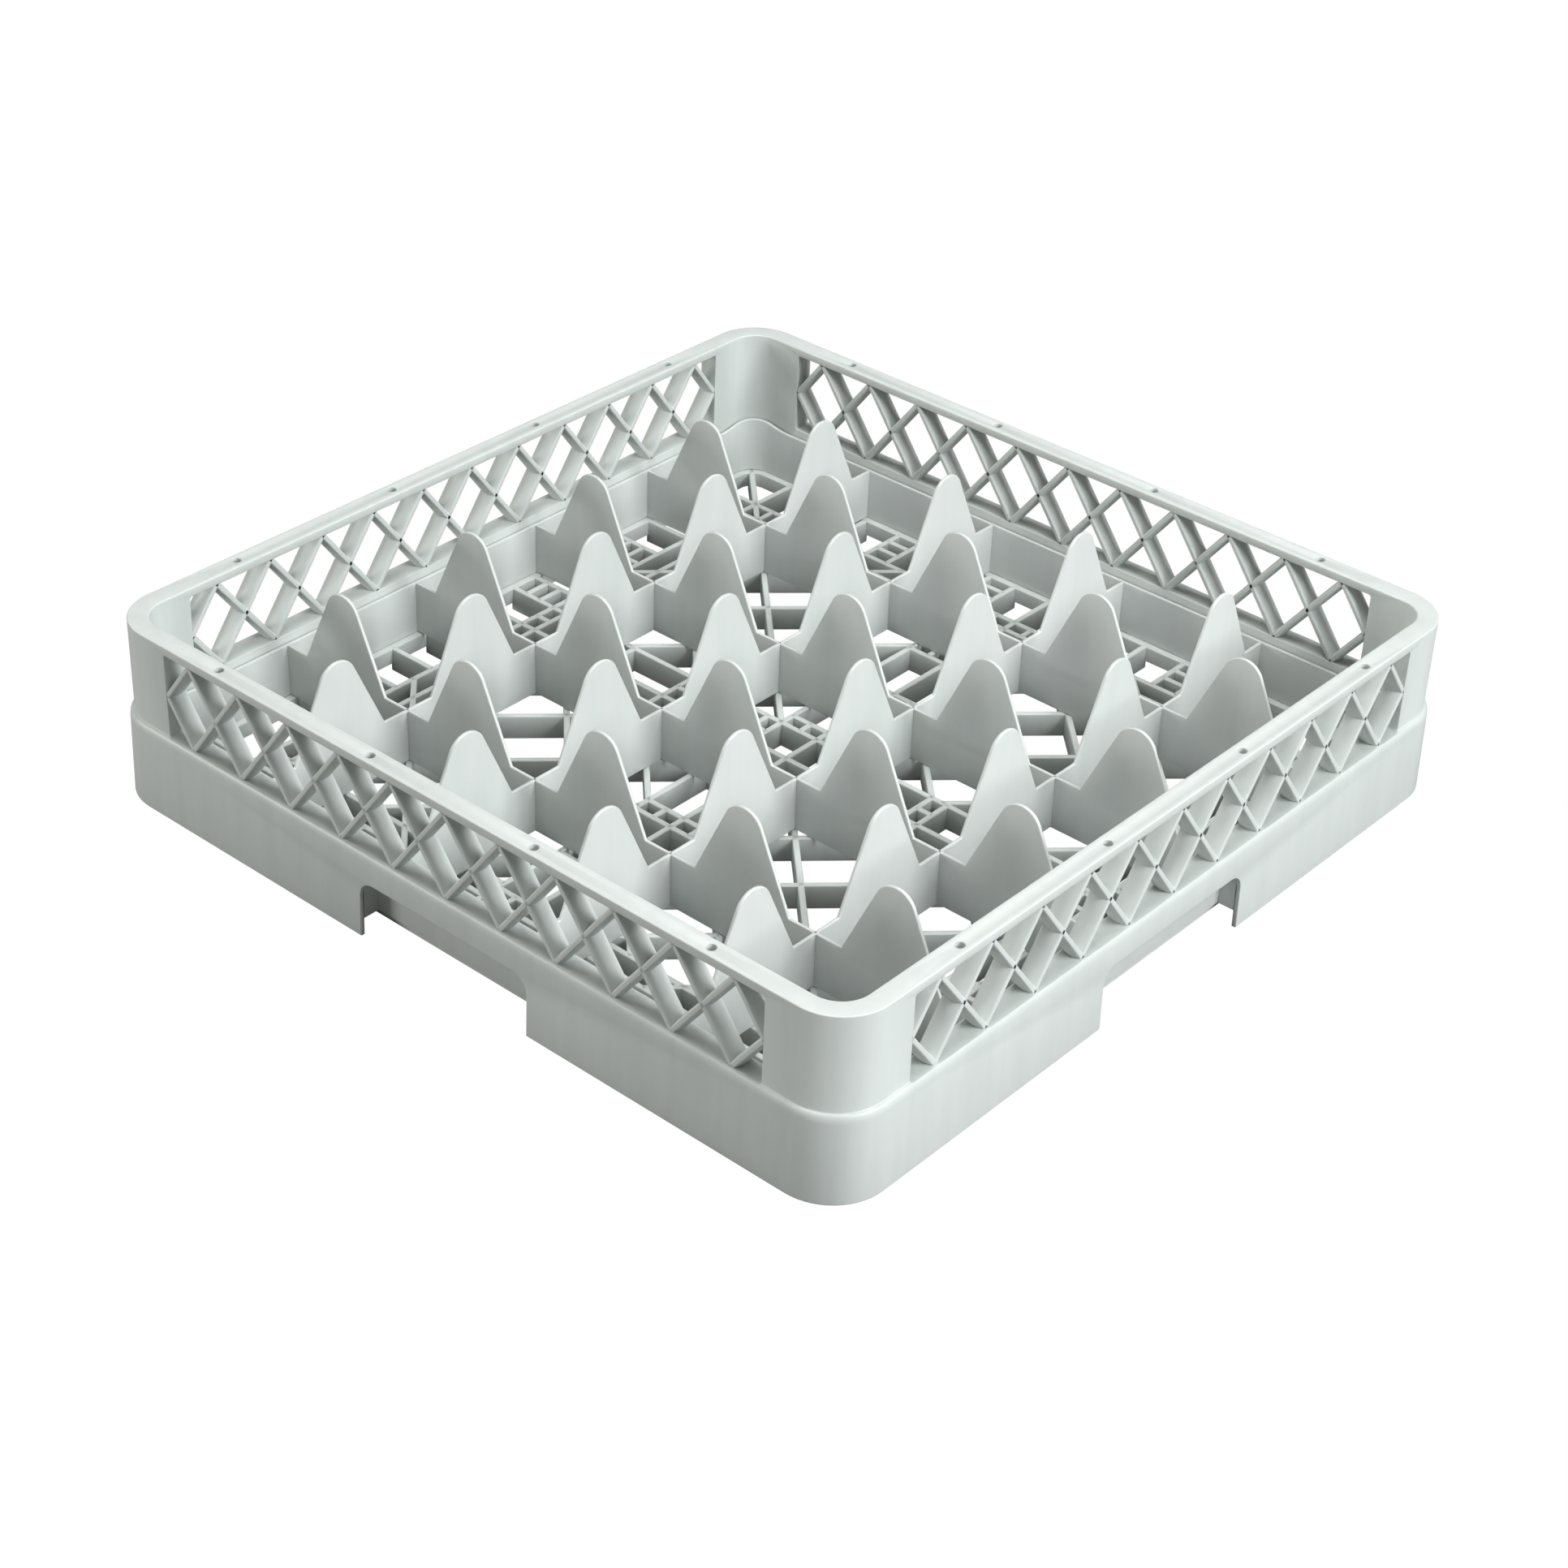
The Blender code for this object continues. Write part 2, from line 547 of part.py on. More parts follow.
def build_band():
    """Upright band round the divider: four straight sides and four corners that rise a little."""
    inner = BAND_LINE - STRIP_THICKNESS * HALF
    outer = BAND_LINE + STRIP_THICKNESS * HALF
    section = [(inner, INSERT_FOOT), (outer, INSERT_FOOT), (outer, FLAT_LEVEL), (inner, FLAT_LEVEL)]
    straight = CORNER_CENTRE - BAND_CORNER_LEG - GAP
    run = [Matrix.Translation((-straight, 0.0, 0.0)), Matrix.Translation((2 * straight, 0.0, 0.0))]
    side_mesh = swept("band_side", section, run)
    for turns, side in enumerate(SIDES):
        place("band_" + side, side_mesh, turns)
    leg_step = BAND_CORNER_LEG / BAND_LEG_STEPS
    moves = [Matrix.Translation((CORNER_CENTRE - BAND_CORNER_LEG, 0.0, 0.0))]
    moves += [Matrix.Translation((leg_step, 0.0, 0.0))] * BAND_LEG_STEPS
    moves += [turn_at_corner(RIGHT_ANGLE / CORNER_STEPS)] * CORNER_STEPS
    moves += [Matrix.Translation((0.0, leg_step, 0.0))] * BAND_LEG_STEPS
    corner_mesh = swept("band_corner", section, moves)
    arc = (BAND_LINE - CORNER_CENTRE) * RIGHT_ANGLE
    for vert in corner_mesh.vertices:
        if vert.co.z < (INSERT_FOOT + FLAT_LEVEL) * HALF:
            continue
        over_x = max(0.0, vert.co.x - CORNER_CENTRE)
        over_y = max(0.0, -vert.co.y - CORNER_CENTRE)
        angle = math.atan2(over_x, over_y)
        along = (angle / RIGHT_ANGLE - HALF) * arc
        along -= max(0.0, CORNER_CENTRE - vert.co.x)
        along += max(0.0, CORNER_CENTRE + vert.co.y)
        vert.co.z = FLAT_LEVEL + band_rise(along, arc)
    for turns, corner in enumerate(CORNERS):
        place("band_corner_" + corner, corner_mesh, turns)


def colour_and_shade():
    """Gives every node its own material and smooths what is round."""
    for thing in bpy.data.collections["glass_rack"].objects:
        insert = thing.name.startswith(("band", "divider"))
        thing.data = thing.data.copy() if thing.data.users > 1 else thing.data
        thing.data.materials.clear()
        thing.data.materials.append(plastic("plastic_" + thing.name, INSERT_COLOUR if insert else RACK_COLOUR))
        thing.data.shade_smooth()
        thing.data.set_sharp_from_angle(angle=SHARP_ANGLE)


def main():
    """Builds the whole rack."""
    start_clean()
    build_rim()
    build_lattice_panels()
    build_corner_posts()
    build_skirt()
    build_floor()
    build_strips()
    build_band()
    colour_and_shade()


main()
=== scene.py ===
"""Looks of the dishwasher glass rack: moulded shell, lattice windows, floor grid and lift-out divider."""

import logging  # noqa: E402
import math  # noqa: E402
from dataclasses import dataclass, field  # noqa: E402
from enum import Enum  # noqa: E402
from typing import Callable  # noqa: E402

import bmesh  # noqa: E402
import bpy  # noqa: E402
from mathutils import Matrix, Vector  # noqa: E402

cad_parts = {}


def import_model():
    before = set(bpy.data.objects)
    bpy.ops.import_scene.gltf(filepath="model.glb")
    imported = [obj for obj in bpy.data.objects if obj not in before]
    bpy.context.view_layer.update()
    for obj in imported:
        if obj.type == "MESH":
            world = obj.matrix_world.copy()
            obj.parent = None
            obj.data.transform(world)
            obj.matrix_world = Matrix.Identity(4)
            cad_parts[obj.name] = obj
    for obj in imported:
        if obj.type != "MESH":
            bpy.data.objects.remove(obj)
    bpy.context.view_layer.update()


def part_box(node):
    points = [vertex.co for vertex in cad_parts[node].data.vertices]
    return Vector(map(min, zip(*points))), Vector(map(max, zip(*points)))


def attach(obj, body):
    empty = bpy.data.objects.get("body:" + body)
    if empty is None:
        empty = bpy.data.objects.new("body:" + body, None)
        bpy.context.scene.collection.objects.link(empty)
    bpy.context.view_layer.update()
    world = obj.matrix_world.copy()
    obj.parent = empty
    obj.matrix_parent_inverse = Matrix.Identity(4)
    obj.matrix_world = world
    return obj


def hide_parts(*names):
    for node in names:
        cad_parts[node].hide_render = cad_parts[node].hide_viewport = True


LOG = logging.getLogger("glass_rack")
MM = 0.001
HALF = 0.5
RIGHT_ANGLE = math.pi / 2
QUARTER = 90.0
SIDES = ("front", "right", "back", "left")
CORNERS = ("front_right", "back_right", "back_left", "front_left")

Outline = list[tuple[float, float]]
Lift = Callable[[float, float, float], Vector]
Colour = tuple[float, float, float, float]


class Body(Enum):
    """The two rigid bodies of the rack."""

    RACK = "rack"
    INSERT = "insert"


class Slot(Enum):
    """Material slots of the record."""

    RACK = "rack_plastic"
    INSERT = "insert_plastic"


class Lean(Enum):
    """Which way a set of lattice ribs leans."""

    RISING = 1.0
    FALLING = -1.0


# ---------------------------------------------------------------- mesh helpers


def new_object(name: str, mesh: bpy.types.Mesh) -> bpy.types.Object:
    """Adds a mesh object to the scene.

    Args:
        name: Name of the piece.
        mesh: Its mesh, already in the rack's frame.

    Returns:
        The new object, at the origin.
    """
    thing = bpy.data.objects.new(name, mesh)
    bpy.context.scene.collection.objects.link(thing)
    return thing


def mesh_from(name: str, builder: bmesh.types.BMesh) -> bpy.types.Mesh:
    """Closes a bmesh into mesh data whose faces point outward.

    Args:
        name: Name of the mesh.
        builder: The bmesh, freed here.

    Returns:
        The finished mesh.
    """
    bmesh.ops.recalc_face_normals(builder, faces=builder.faces)
    if builder.calc_volume(signed=True) < 0.0:
        bmesh.ops.reverse_faces(builder, faces=builder.faces)
    mesh = bpy.data.meshes.new(name)
    builder.to_mesh(mesh)
    builder.free()
    return mesh


def joined_mesh(name: str, *parts: bpy.types.Mesh) -> bpy.types.Mesh:
    """Several meshes as one.

    Args:
        name: Name of the mesh.
        *parts: The meshes to join.

    Returns:
        The joined mesh.
    """
    builder = bmesh.new()
    for part in parts:
        builder.from_mesh(part)
    mesh = bpy.data.meshes.new(name)
    builder.to_mesh(mesh)
    builder.free()
    return mesh


def smooth_round(mesh: bpy.types.Mesh, degrees: float) -> None:
    """Shades a mesh smooth and keeps edges above an angle sharp.

    Args:
        mesh: The mesh to shade.
        degrees: Angle above which an edge stays sharp.
    """
    mesh.shade_smooth()
    mesh.set_sharp_from_angle(angle=math.radians(degrees))


def bake(thing: bpy.types.Object) -> None:
    """Turns an object with modifiers into a plain mesh.

    Args:
        thing: The object, whose modifiers are removed.
    """
    bpy.context.view_layer.update()
    graph = bpy.context.evaluated_depsgraph_get()
    mesh = bpy.data.meshes.new_from_object(thing.evaluated_get(graph), depsgraph=graph)
    thing.modifiers.clear()
    thing.data = mesh


def arc(centre: tuple[float, float], radius: float, start: float, stop: float, steps: int) -> Outline:
    """Points along a circular arc.

    Args:
        centre: Centre of the arc.
        radius: Its radius.
        start: First angle in degrees.
        stop: Last angle in degrees.
        steps: Number of segments.

    Returns:
        The points, both ends included.
    """
    angles = [math.radians(start + (stop - start) * index / steps) for index in range(steps + 1)]
    across, up = centre
    return [(across + radius * math.cos(angle), up + radius * math.sin(angle)) for angle in angles]


def prism(outline: Outline, low: float, high: float, lift: Lift) -> bmesh.types.BMesh:
    """Solid between two copies of an outline.

    Args:
        outline: Corner points in the outline's own plane.
        low: Near depth.
        high: Far depth.
        lift: Maps a point and a depth into the rack's frame.

    Returns:
        A closed bmesh.
    """
    builder = bmesh.new()
    near = [builder.verts.new(lift(a, b, low)) for a, b in outline]
    far = [builder.verts.new(lift(a, b, high)) for a, b in outline]
    builder.faces.new(near)
    builder.faces.new(far[::-1])
    for index in range(len(outline)):
        after = (index + 1) % len(outline)
        builder.faces.new((near[after], near[index], far[index], far[after]))
    return builder


def on_front(along: float, up: float, out: float) -> Vector:
    """Point on the front wall from its place along the wall, its height and its distance out."""
    return Vector((along, -out, up))


def flat(along: float, across: float, up: float) -> Vector:
    """Point above the floor."""
    return Vector((along, across, up))


def along_floor(across: float, up: float, along: float) -> Vector:
    """Point of a rib that runs along X, from its place in the rib's section."""
    return Vector((along, across, up))


def corner_turns(steps: int) -> list[tuple[int, float]]:
    """Directions in which a rounded square is visited.

    Args:
        steps: Segments in each corner.

    Returns:
        Pairs of corner number and outward angle.
    """
    turns = []
    for corner in range(len(CORNERS)):
        for step in range(steps + 1):
            turns.append((corner, (corner - 1 + step / steps) * RIGHT_ANGLE))
    return turns


def corner_middle(corner: int, centre: float) -> Vector:
    """Centre of a rounded corner on plan."""
    angle = (corner - HALF) * RIGHT_ANGLE
    return Vector((math.copysign(centre, math.cos(angle)), math.copysign(centre, math.sin(angle)), 0.0))


def outward(angle: float) -> Vector:
    """Level direction at an angle from the rack's right-hand side."""
    return Vector((math.cos(angle), math.sin(angle), 0.0))


def close_rings(builder: bmesh.types.BMesh, rings: list[list[bmesh.types.BMVert]]) -> None:
    """Joins each ring of points to the next and the last to the first.

    Args:
        builder: The bmesh that holds the points.
        rings: Equally long rings, in order round the rack.
    """
    for index, ring in enumerate(rings):
        following = rings[(index + 1) % len(rings)]
        for spot in range(len(ring)):
            after = (spot + 1) % len(ring)
            builder.faces.new((ring[spot], following[spot], following[after], ring[after]))


def swept_ring(section: Outline, centre: float, steps: int) -> bmesh.types.BMesh:
    """Closed ring made by carrying a section round a rounded square.

    Args:
        section: Closed outline as (distance out, height).
        centre: Distance of the corner centres from the middle of the rack.
        steps: Segments in each corner.

    Returns:
        A closed bmesh.
    """
    builder = bmesh.new()
    rings = []
    for corner, angle in corner_turns(steps):
        middle, way = corner_middle(corner, centre), outward(angle)
        rings.append([builder.verts.new(middle + way * (out - centre) + Vector((0.0, 0.0, up)))
                      for out, up in section])
    close_rings(builder, rings)
    return builder


def soften(thing: bpy.types.Object, width: float, segments: int, degrees: float) -> None:
    """Rounds the sharp edges of an object.

    Args:
        thing: The object.
        width: Width of the rounding.
        segments: Faces across it.
        degrees: Angle above which an edge is rounded.
    """
    step = thing.modifiers.new("soft_edges", "BEVEL")
    step.width = width
    step.segments = segments
    step.limit_method = "ANGLE"
    step.angle_limit = math.radians(degrees)
    step.use_clamp_overlap = True
    bake(thing)


def cut(thing: bpy.types.Object, cutter: bmesh.types.BMesh, name: str) -> None:
    """Takes a shape out of an object at once.

    Args:
        thing: The object that loses material.
        cutter: The shape to remove, freed here.
        name: Name for the temporary cutter.
    """
    tool = new_object(name, mesh_from(name, cutter))
    step = thing.modifiers.new(name, "BOOLEAN")
    step.operation = "DIFFERENCE"
    step.solver = "EXACT"
    step.object = tool
    bake(thing)
    bpy.data.objects.remove(tool)


# ---------------------------------------------------------------- node helpers


class TreeMaker:
    """Small helper for building node trees with named sockets."""

    def __init__(self, name: str, kind: str) -> None:
        """Opens a new node group of the given kind.

        Args:
            name: Name of the group.
            kind: Tree class.
        """
        self.tree = bpy.data.node_groups.new(name, kind)
        self.source = self.tree.nodes.new("NodeGroupInput")
        self.sink = self.tree.nodes.new("NodeGroupOutput")

    def takes(self, name: str, kind: str, value: object = None) -> None:
        """Adds a named input.

        Args:
            name: Name of the input.
            kind: Socket class.
            value: Default value, if it has one.
        """
        socket = self.tree.interface.new_socket(name, in_out="INPUT", socket_type=kind)
        if value is not None:
            socket.default_value = value

    def gives(self, name: str, kind: str) -> None:
        """Adds a named output."""
        self.tree.interface.new_socket(name, in_out="OUTPUT", socket_type=kind)

    def node(self, kind: str, links: dict | None = None, **settings: object) -> bpy.types.Node:
        """Adds a node, sets its properties and connects or fills its inputs.

        Args:
            kind: Node class.
            links: Input name or index to a socket or a plain value.
            **settings: Properties of the node.

        Returns:
            The new node.
        """
        made = self.tree.nodes.new(kind)
        for key, value in settings.items():
            setattr(made, key, value)
        for key, value in (links or {}).items():
            if isinstance(value, bpy.types.NodeSocket):
                self.tree.links.new(value, made.inputs[key])
            else:
                made.inputs[key].default_value = value
        return made

    def math(self, operation: str, first: object, second: object = 0.0) -> bpy.types.NodeSocket:
        """Adds a Math node and returns its result."""
        kind = "ShaderNodeMath"
        return self.node(kind, {0: first, 1: second}, operation=operation).outputs[0]

    def noise(self, place: bpy.types.NodeSocket, scale: object, detail: float, roughness: float = HALF,
              distortion: float = 0.0) -> bpy.types.NodeSocket:
        """Adds a Noise texture.

        Args:
            place: Where on the surface it is read.
            scale: Its scale.
            detail: Number of finer layers.
            roughness: Strength of the finer layers.
            distortion: How far it is warped.

        Returns:
            Its value.
        """
        return self.node("ShaderNodeTexNoise", {
            "Vector": place, "Scale": scale, "Detail": detail, "Roughness": roughness,
            "Distortion": distortion}).outputs[0]

    def blend(self, first: bpy.types.NodeSocket, weight: float, second: bpy.types.NodeSocket,
              other_weight: float) -> bpy.types.NodeSocket:
        """Adds two values, each times its own weight."""
        share = self.math("MULTIPLY", first, weight)
        return self.math("ADD", share, self.math("MULTIPLY", second, other_weight))

    def vector(self, x: object = 0.0, y: object = 0.0, z: object = 0.0) -> bpy.types.NodeSocket:
        """Combines three numbers into a vector."""
        return self.node("ShaderNodeCombineXYZ", {"X": x, "Y": y, "Z": z}).outputs[0]

    def input(self, name: str) -> bpy.types.NodeSocket:
        """Socket of a named group input."""
        return self.source.outputs[name]


def run_tree(thing: bpy.types.Object, tree: bpy.types.NodeTree, values: dict) -> None:
    """Runs a Geometry Nodes tree on an object and keeps the result as its mesh.

    Args:
        thing: The object that hosts the tree.
        tree: The tree.
        values: Input names and their values.
    """
    step = thing.modifiers.new(tree.name, "NODES")
    step.node_group = tree
    for item in tree.interface.items_tree:
        if item.item_type == "SOCKET" and item.in_out == "INPUT" and item.name in values:
            step[item.identifier] = values[item.name]
    bake(thing)


def finish_tree(maker: TreeMaker, geometry: bpy.types.NodeSocket) -> bpy.types.NodeTree:
    """Ends a geometry tree with real geometry and its material.

    Args:
        maker: The tree under construction.
        geometry: The last geometry socket.

    Returns:
        The finished tree.
    """
    real = maker.node("GeometryNodeRealizeInstances", {"Geometry": geometry})
    dressed = maker.node("GeometryNodeSetMaterial", {
        "Geometry": real.outputs[0], "Material": maker.input("Finish")})
    maker.tree.links.new(dressed.outputs[0], maker.sink.inputs[0])
    return maker.tree


def shape_input(maker: TreeMaker, name: str) -> bpy.types.NodeSocket:
    """Geometry of the object given to a named input."""
    info = maker.node("GeometryNodeObjectInfo", {"Object": maker.input(name)}, transform_space="ORIGINAL")
    return info.outputs["Geometry"]


def centred_start(maker: TreeMaker) -> bpy.types.NodeSocket:
    """First place of a row of Count things one Pitch apart, centred on the rack."""
    spans = maker.math("SUBTRACT", maker.input("Count"), 1.0)
    return maker.math("MULTIPLY", maker.math("MULTIPLY", spans, maker.input("Pitch")), -HALF)


def lattice_tree() -> bpy.types.NodeTree:
    """Tree that lays two leaning sets of ribs in a window and repeats the window on four walls.

    Returns:
        The tree.
    """
    maker = TreeMaker("crossing_ribs", "GeometryNodeTree")
    maker.gives("Geometry", "NodeSocketGeometry")
    maker.takes("Geometry", "NodeSocketGeometry")
    maker.takes("Rib", "NodeSocketObject")
    maker.takes("Finish", "NodeSocketMaterial")
    maker.takes("Count", "NodeSocketInt", 1)
    maker.takes("Walls", "NodeSocketInt", 1)
    for name in ("Pitch", "Middle Height", "Lean Angle", "Inner Face", "Outer Face"):
        maker.takes(name, "NodeSocketFloat", 0.0)
    rib = shape_input(maker, "Rib")
    start = maker.vector(centred_start(maker), 0.0, maker.input("Middle Height"))
    line = maker.node("GeometryNodeMeshLine", {
        "Count": maker.input("Count"), "Start Location": start,
        "Offset": maker.vector(maker.input("Pitch"))}, mode="OFFSET")
    joined = maker.node("GeometryNodeJoinGeometry")
    for way in Lean:
        angle = maker.math("MULTIPLY", maker.input("Lean Angle"), way.value)
        ribs = maker.node("GeometryNodeInstanceOnPoints", {
            "Points": line.outputs[0], "Instance": rib, "Rotation": maker.vector(0.0, angle, 0.0)})
        maker.tree.links.new(ribs.outputs[0], joined.inputs[0])
    real = maker.node("GeometryNodeRealizeInstances", {"Geometry": joined.outputs[0]})
    place = maker.node("ShaderNodeSeparateXYZ", {0: maker.node("GeometryNodeInputPosition").outputs[0]})
    depth = maker.math("SUBTRACT", maker.input("Outer Face"), maker.input("Inner Face"))
    out = maker.math("ADD", maker.math("MULTIPLY", depth, place.outputs["Y"]), maker.input("Inner Face"))
    toward_front = maker.math("MULTIPLY", out, -1.0)
    moved = maker.node("GeometryNodeSetPosition", {
        "Geometry": real.outputs[0],
        "Position": maker.vector(place.outputs["X"], toward_front, place.outputs["Z"])})
    walls = maker.node("GeometryNodeMeshLine", {
        "Count": maker.input("Walls"), "Offset": (0.0, 0.0, 0.0)}, mode="OFFSET")
    turn = maker.math("MULTIPLY", maker.node("GeometryNodeInputIndex").outputs[0], RIGHT_ANGLE)
    around = maker.node("GeometryNodeInstanceOnPoints", {
        "Points": walls.outputs[0], "Instance": moved.outputs[0], "Rotation": maker.vector(0.0, 0.0, turn)})
    return finish_tree(maker, around.outputs[0])


def ribs_on_points_tree() -> bpy.types.NodeTree:
    """Tree that puts a rib on each point, as long and turned as the point's attributes say.

    Returns:
        The tree.
    """
    maker = TreeMaker("ribs_on_points", "GeometryNodeTree")
    maker.gives("Geometry", "NodeSocketGeometry")
    maker.takes("Geometry", "NodeSocketGeometry")
    maker.takes("Rib", "NodeSocketObject")
    maker.takes("Finish", "NodeSocketMaterial")
    length = maker.node("GeometryNodeInputNamedAttribute", {"Name": "length"}, data_type="FLOAT")
    turn = maker.node("GeometryNodeInputNamedAttribute", {"Name": "turn"}, data_type="FLOAT")
    ribs = maker.node("GeometryNodeInstanceOnPoints", {
        "Points": maker.input("Geometry"), "Instance": shape_input(maker, "Rib"),
        "Rotation": maker.vector(0.0, 0.0, turn.outputs[0]),
        "Scale": maker.vector(length.outputs[0], 1.0, 1.0)})
    return finish_tree(maker, ribs.outputs[0])


def strips_tree() -> bpy.types.NodeTree:
    """Tree that repeats a divider strip across the rack and then along it.

    Returns:
        The tree.
    """
    maker = TreeMaker("crossing_strips", "GeometryNodeTree")
    maker.gives("Geometry", "NodeSocketGeometry")
    maker.takes("Geometry", "NodeSocketGeometry")
    maker.takes("Strip", "NodeSocketObject")
    maker.takes("Finish", "NodeSocketMaterial")
    maker.takes("Count", "NodeSocketInt", 1)
    maker.takes("Pitch", "NodeSocketFloat", 0.0)
    strip = shape_input(maker, "Strip")
    line = maker.node("GeometryNodeMeshLine", {
        "Count": maker.input("Count"), "Start Location": maker.vector(0.0, centred_start(maker), 0.0),
        "Offset": maker.vector(0.0, maker.input("Pitch"), 0.0)}, mode="OFFSET")
    across = maker.node("GeometryNodeInstanceOnPoints", {"Points": line.outputs[0], "Instance": strip})
    along = maker.node("GeometryNodeTransform", {
        "Geometry": across.outputs[0], "Rotation": (0.0, 0.0, RIGHT_ANGLE)})
    joined = maker.node("GeometryNodeJoinGeometry", {"Geometry": across.outputs[0]})
    maker.tree.links.new(along.outputs[0], joined.inputs[0])
    return finish_tree(maker, joined.outputs[0])


# ---------------------------------------------------------------- finishes

STREAK_STRETCH = (1.0, 1.0, 0.1)
STREAK_SCALE = 6.0
CLOUD_SCALE = 0.35
CLOUD_SPREAD = (0.36, 0.64)
FINE_HEIGHT = 0.35
FLOW_HEIGHT = 3.0
# Strength of the painted highlight along the edges.
EDGE_HIGHLIGHT_STRENGTH = 5.0
BEVEL_SAMPLES = 6


def grain_group() -> bpy.types.NodeTree:
    """Fine spark-eroded grain of a mould, slow flow marks and faint cloudiness.

    Returns:
        A shader group with Height, Mottle and Cloud outputs.
    """
    maker = TreeMaker("moulding_grain", "ShaderNodeTree")
    maker.takes("Place", "NodeSocketVector")
    maker.takes("Grain Scale", "NodeSocketFloat", 1.0)
    maker.takes("Flow Scale", "NodeSocketFloat", 1.0)
    for name in ("Height", "Mottle", "Cloud"):
        maker.gives(name, "NodeSocketFloat")
    place, flow_scale = maker.input("Place"), maker.input("Flow Scale")
    upright = maker.node("ShaderNodeVectorMath", {0: place, 1: STREAK_STRETCH}, operation="MULTIPLY")
    fine = maker.noise(place, maker.input("Grain Scale"), detail=3.0, roughness=0.6)
    flow = maker.noise(place, flow_scale, detail=2.0, roughness=0.45, distortion=0.6)
    cloud = maker.noise(place, maker.math("MULTIPLY", flow_scale, CLOUD_SCALE), detail=4.0, roughness=0.55)
    streak = maker.noise(upright.outputs[0], maker.math("MULTIPLY", flow_scale, STREAK_SCALE), detail=3.0,
                         roughness=0.6)
    clouding = maker.blend(cloud, HALF, streak, HALF)
    spread = maker.node("ShaderNodeMapRange", {
        "Value": clouding, "From Min": CLOUD_SPREAD[0], "From Max": CLOUD_SPREAD[1]})
    maker.tree.links.new(maker.blend(fine, FINE_HEIGHT, flow, FLOW_HEIGHT), maker.sink.inputs["Height"])
    maker.tree.links.new(fine, maker.sink.inputs["Mottle"])
    maker.tree.links.new(spread.outputs["Result"], maker.sink.inputs["Cloud"])
    return maker.tree


def edge_group() -> bpy.types.NodeTree:
    """Mask of edges that get a painted highlight, and the softened normal of a moulded edge.

    Returns:
        A shader group with Mask and Normal outputs.
    """
    maker = TreeMaker("edge_highlight_and_rounding", "ShaderNodeTree")
    maker.takes("Place", "NodeSocketVector")
    maker.takes("Radius", "NodeSocketFloat", 0.0005)
    maker.takes("Breakup", "NodeSocketFloat", 1.0)
    maker.gives("Mask", "NodeSocketFloat")
    maker.gives("Normal", "NodeSocketVector")
    soft = maker.node("ShaderNodeBevel", {"Radius": maker.input("Radius")}, samples=BEVEL_SAMPLES)
    plain = maker.node("ShaderNodeNewGeometry")
    dot = maker.node("ShaderNodeVectorMath", {0: soft.outputs[0], 1: plain.outputs["Normal"]},
                     operation="DOT_PRODUCT")
    # Painted highlight mask: strong where the rounded normal leaves the flat one at an edge, broken up by
    # noise.
    bend = maker.math("MULTIPLY", maker.math("SUBTRACT", 1.0, dot.outputs["Value"]), EDGE_HIGHLIGHT_STRENGTH)
    breakup = maker.noise(maker.input("Place"), maker.input("Breakup"), detail=3.0)
    clamp = maker.node("ShaderNodeClamp", {"Value": maker.math("MULTIPLY", bend, breakup)})
    maker.tree.links.new(clamp.outputs[0], maker.sink.inputs["Mask"])
    maker.tree.links.new(soft.outputs[0], maker.sink.inputs["Normal"])
    return maker.tree


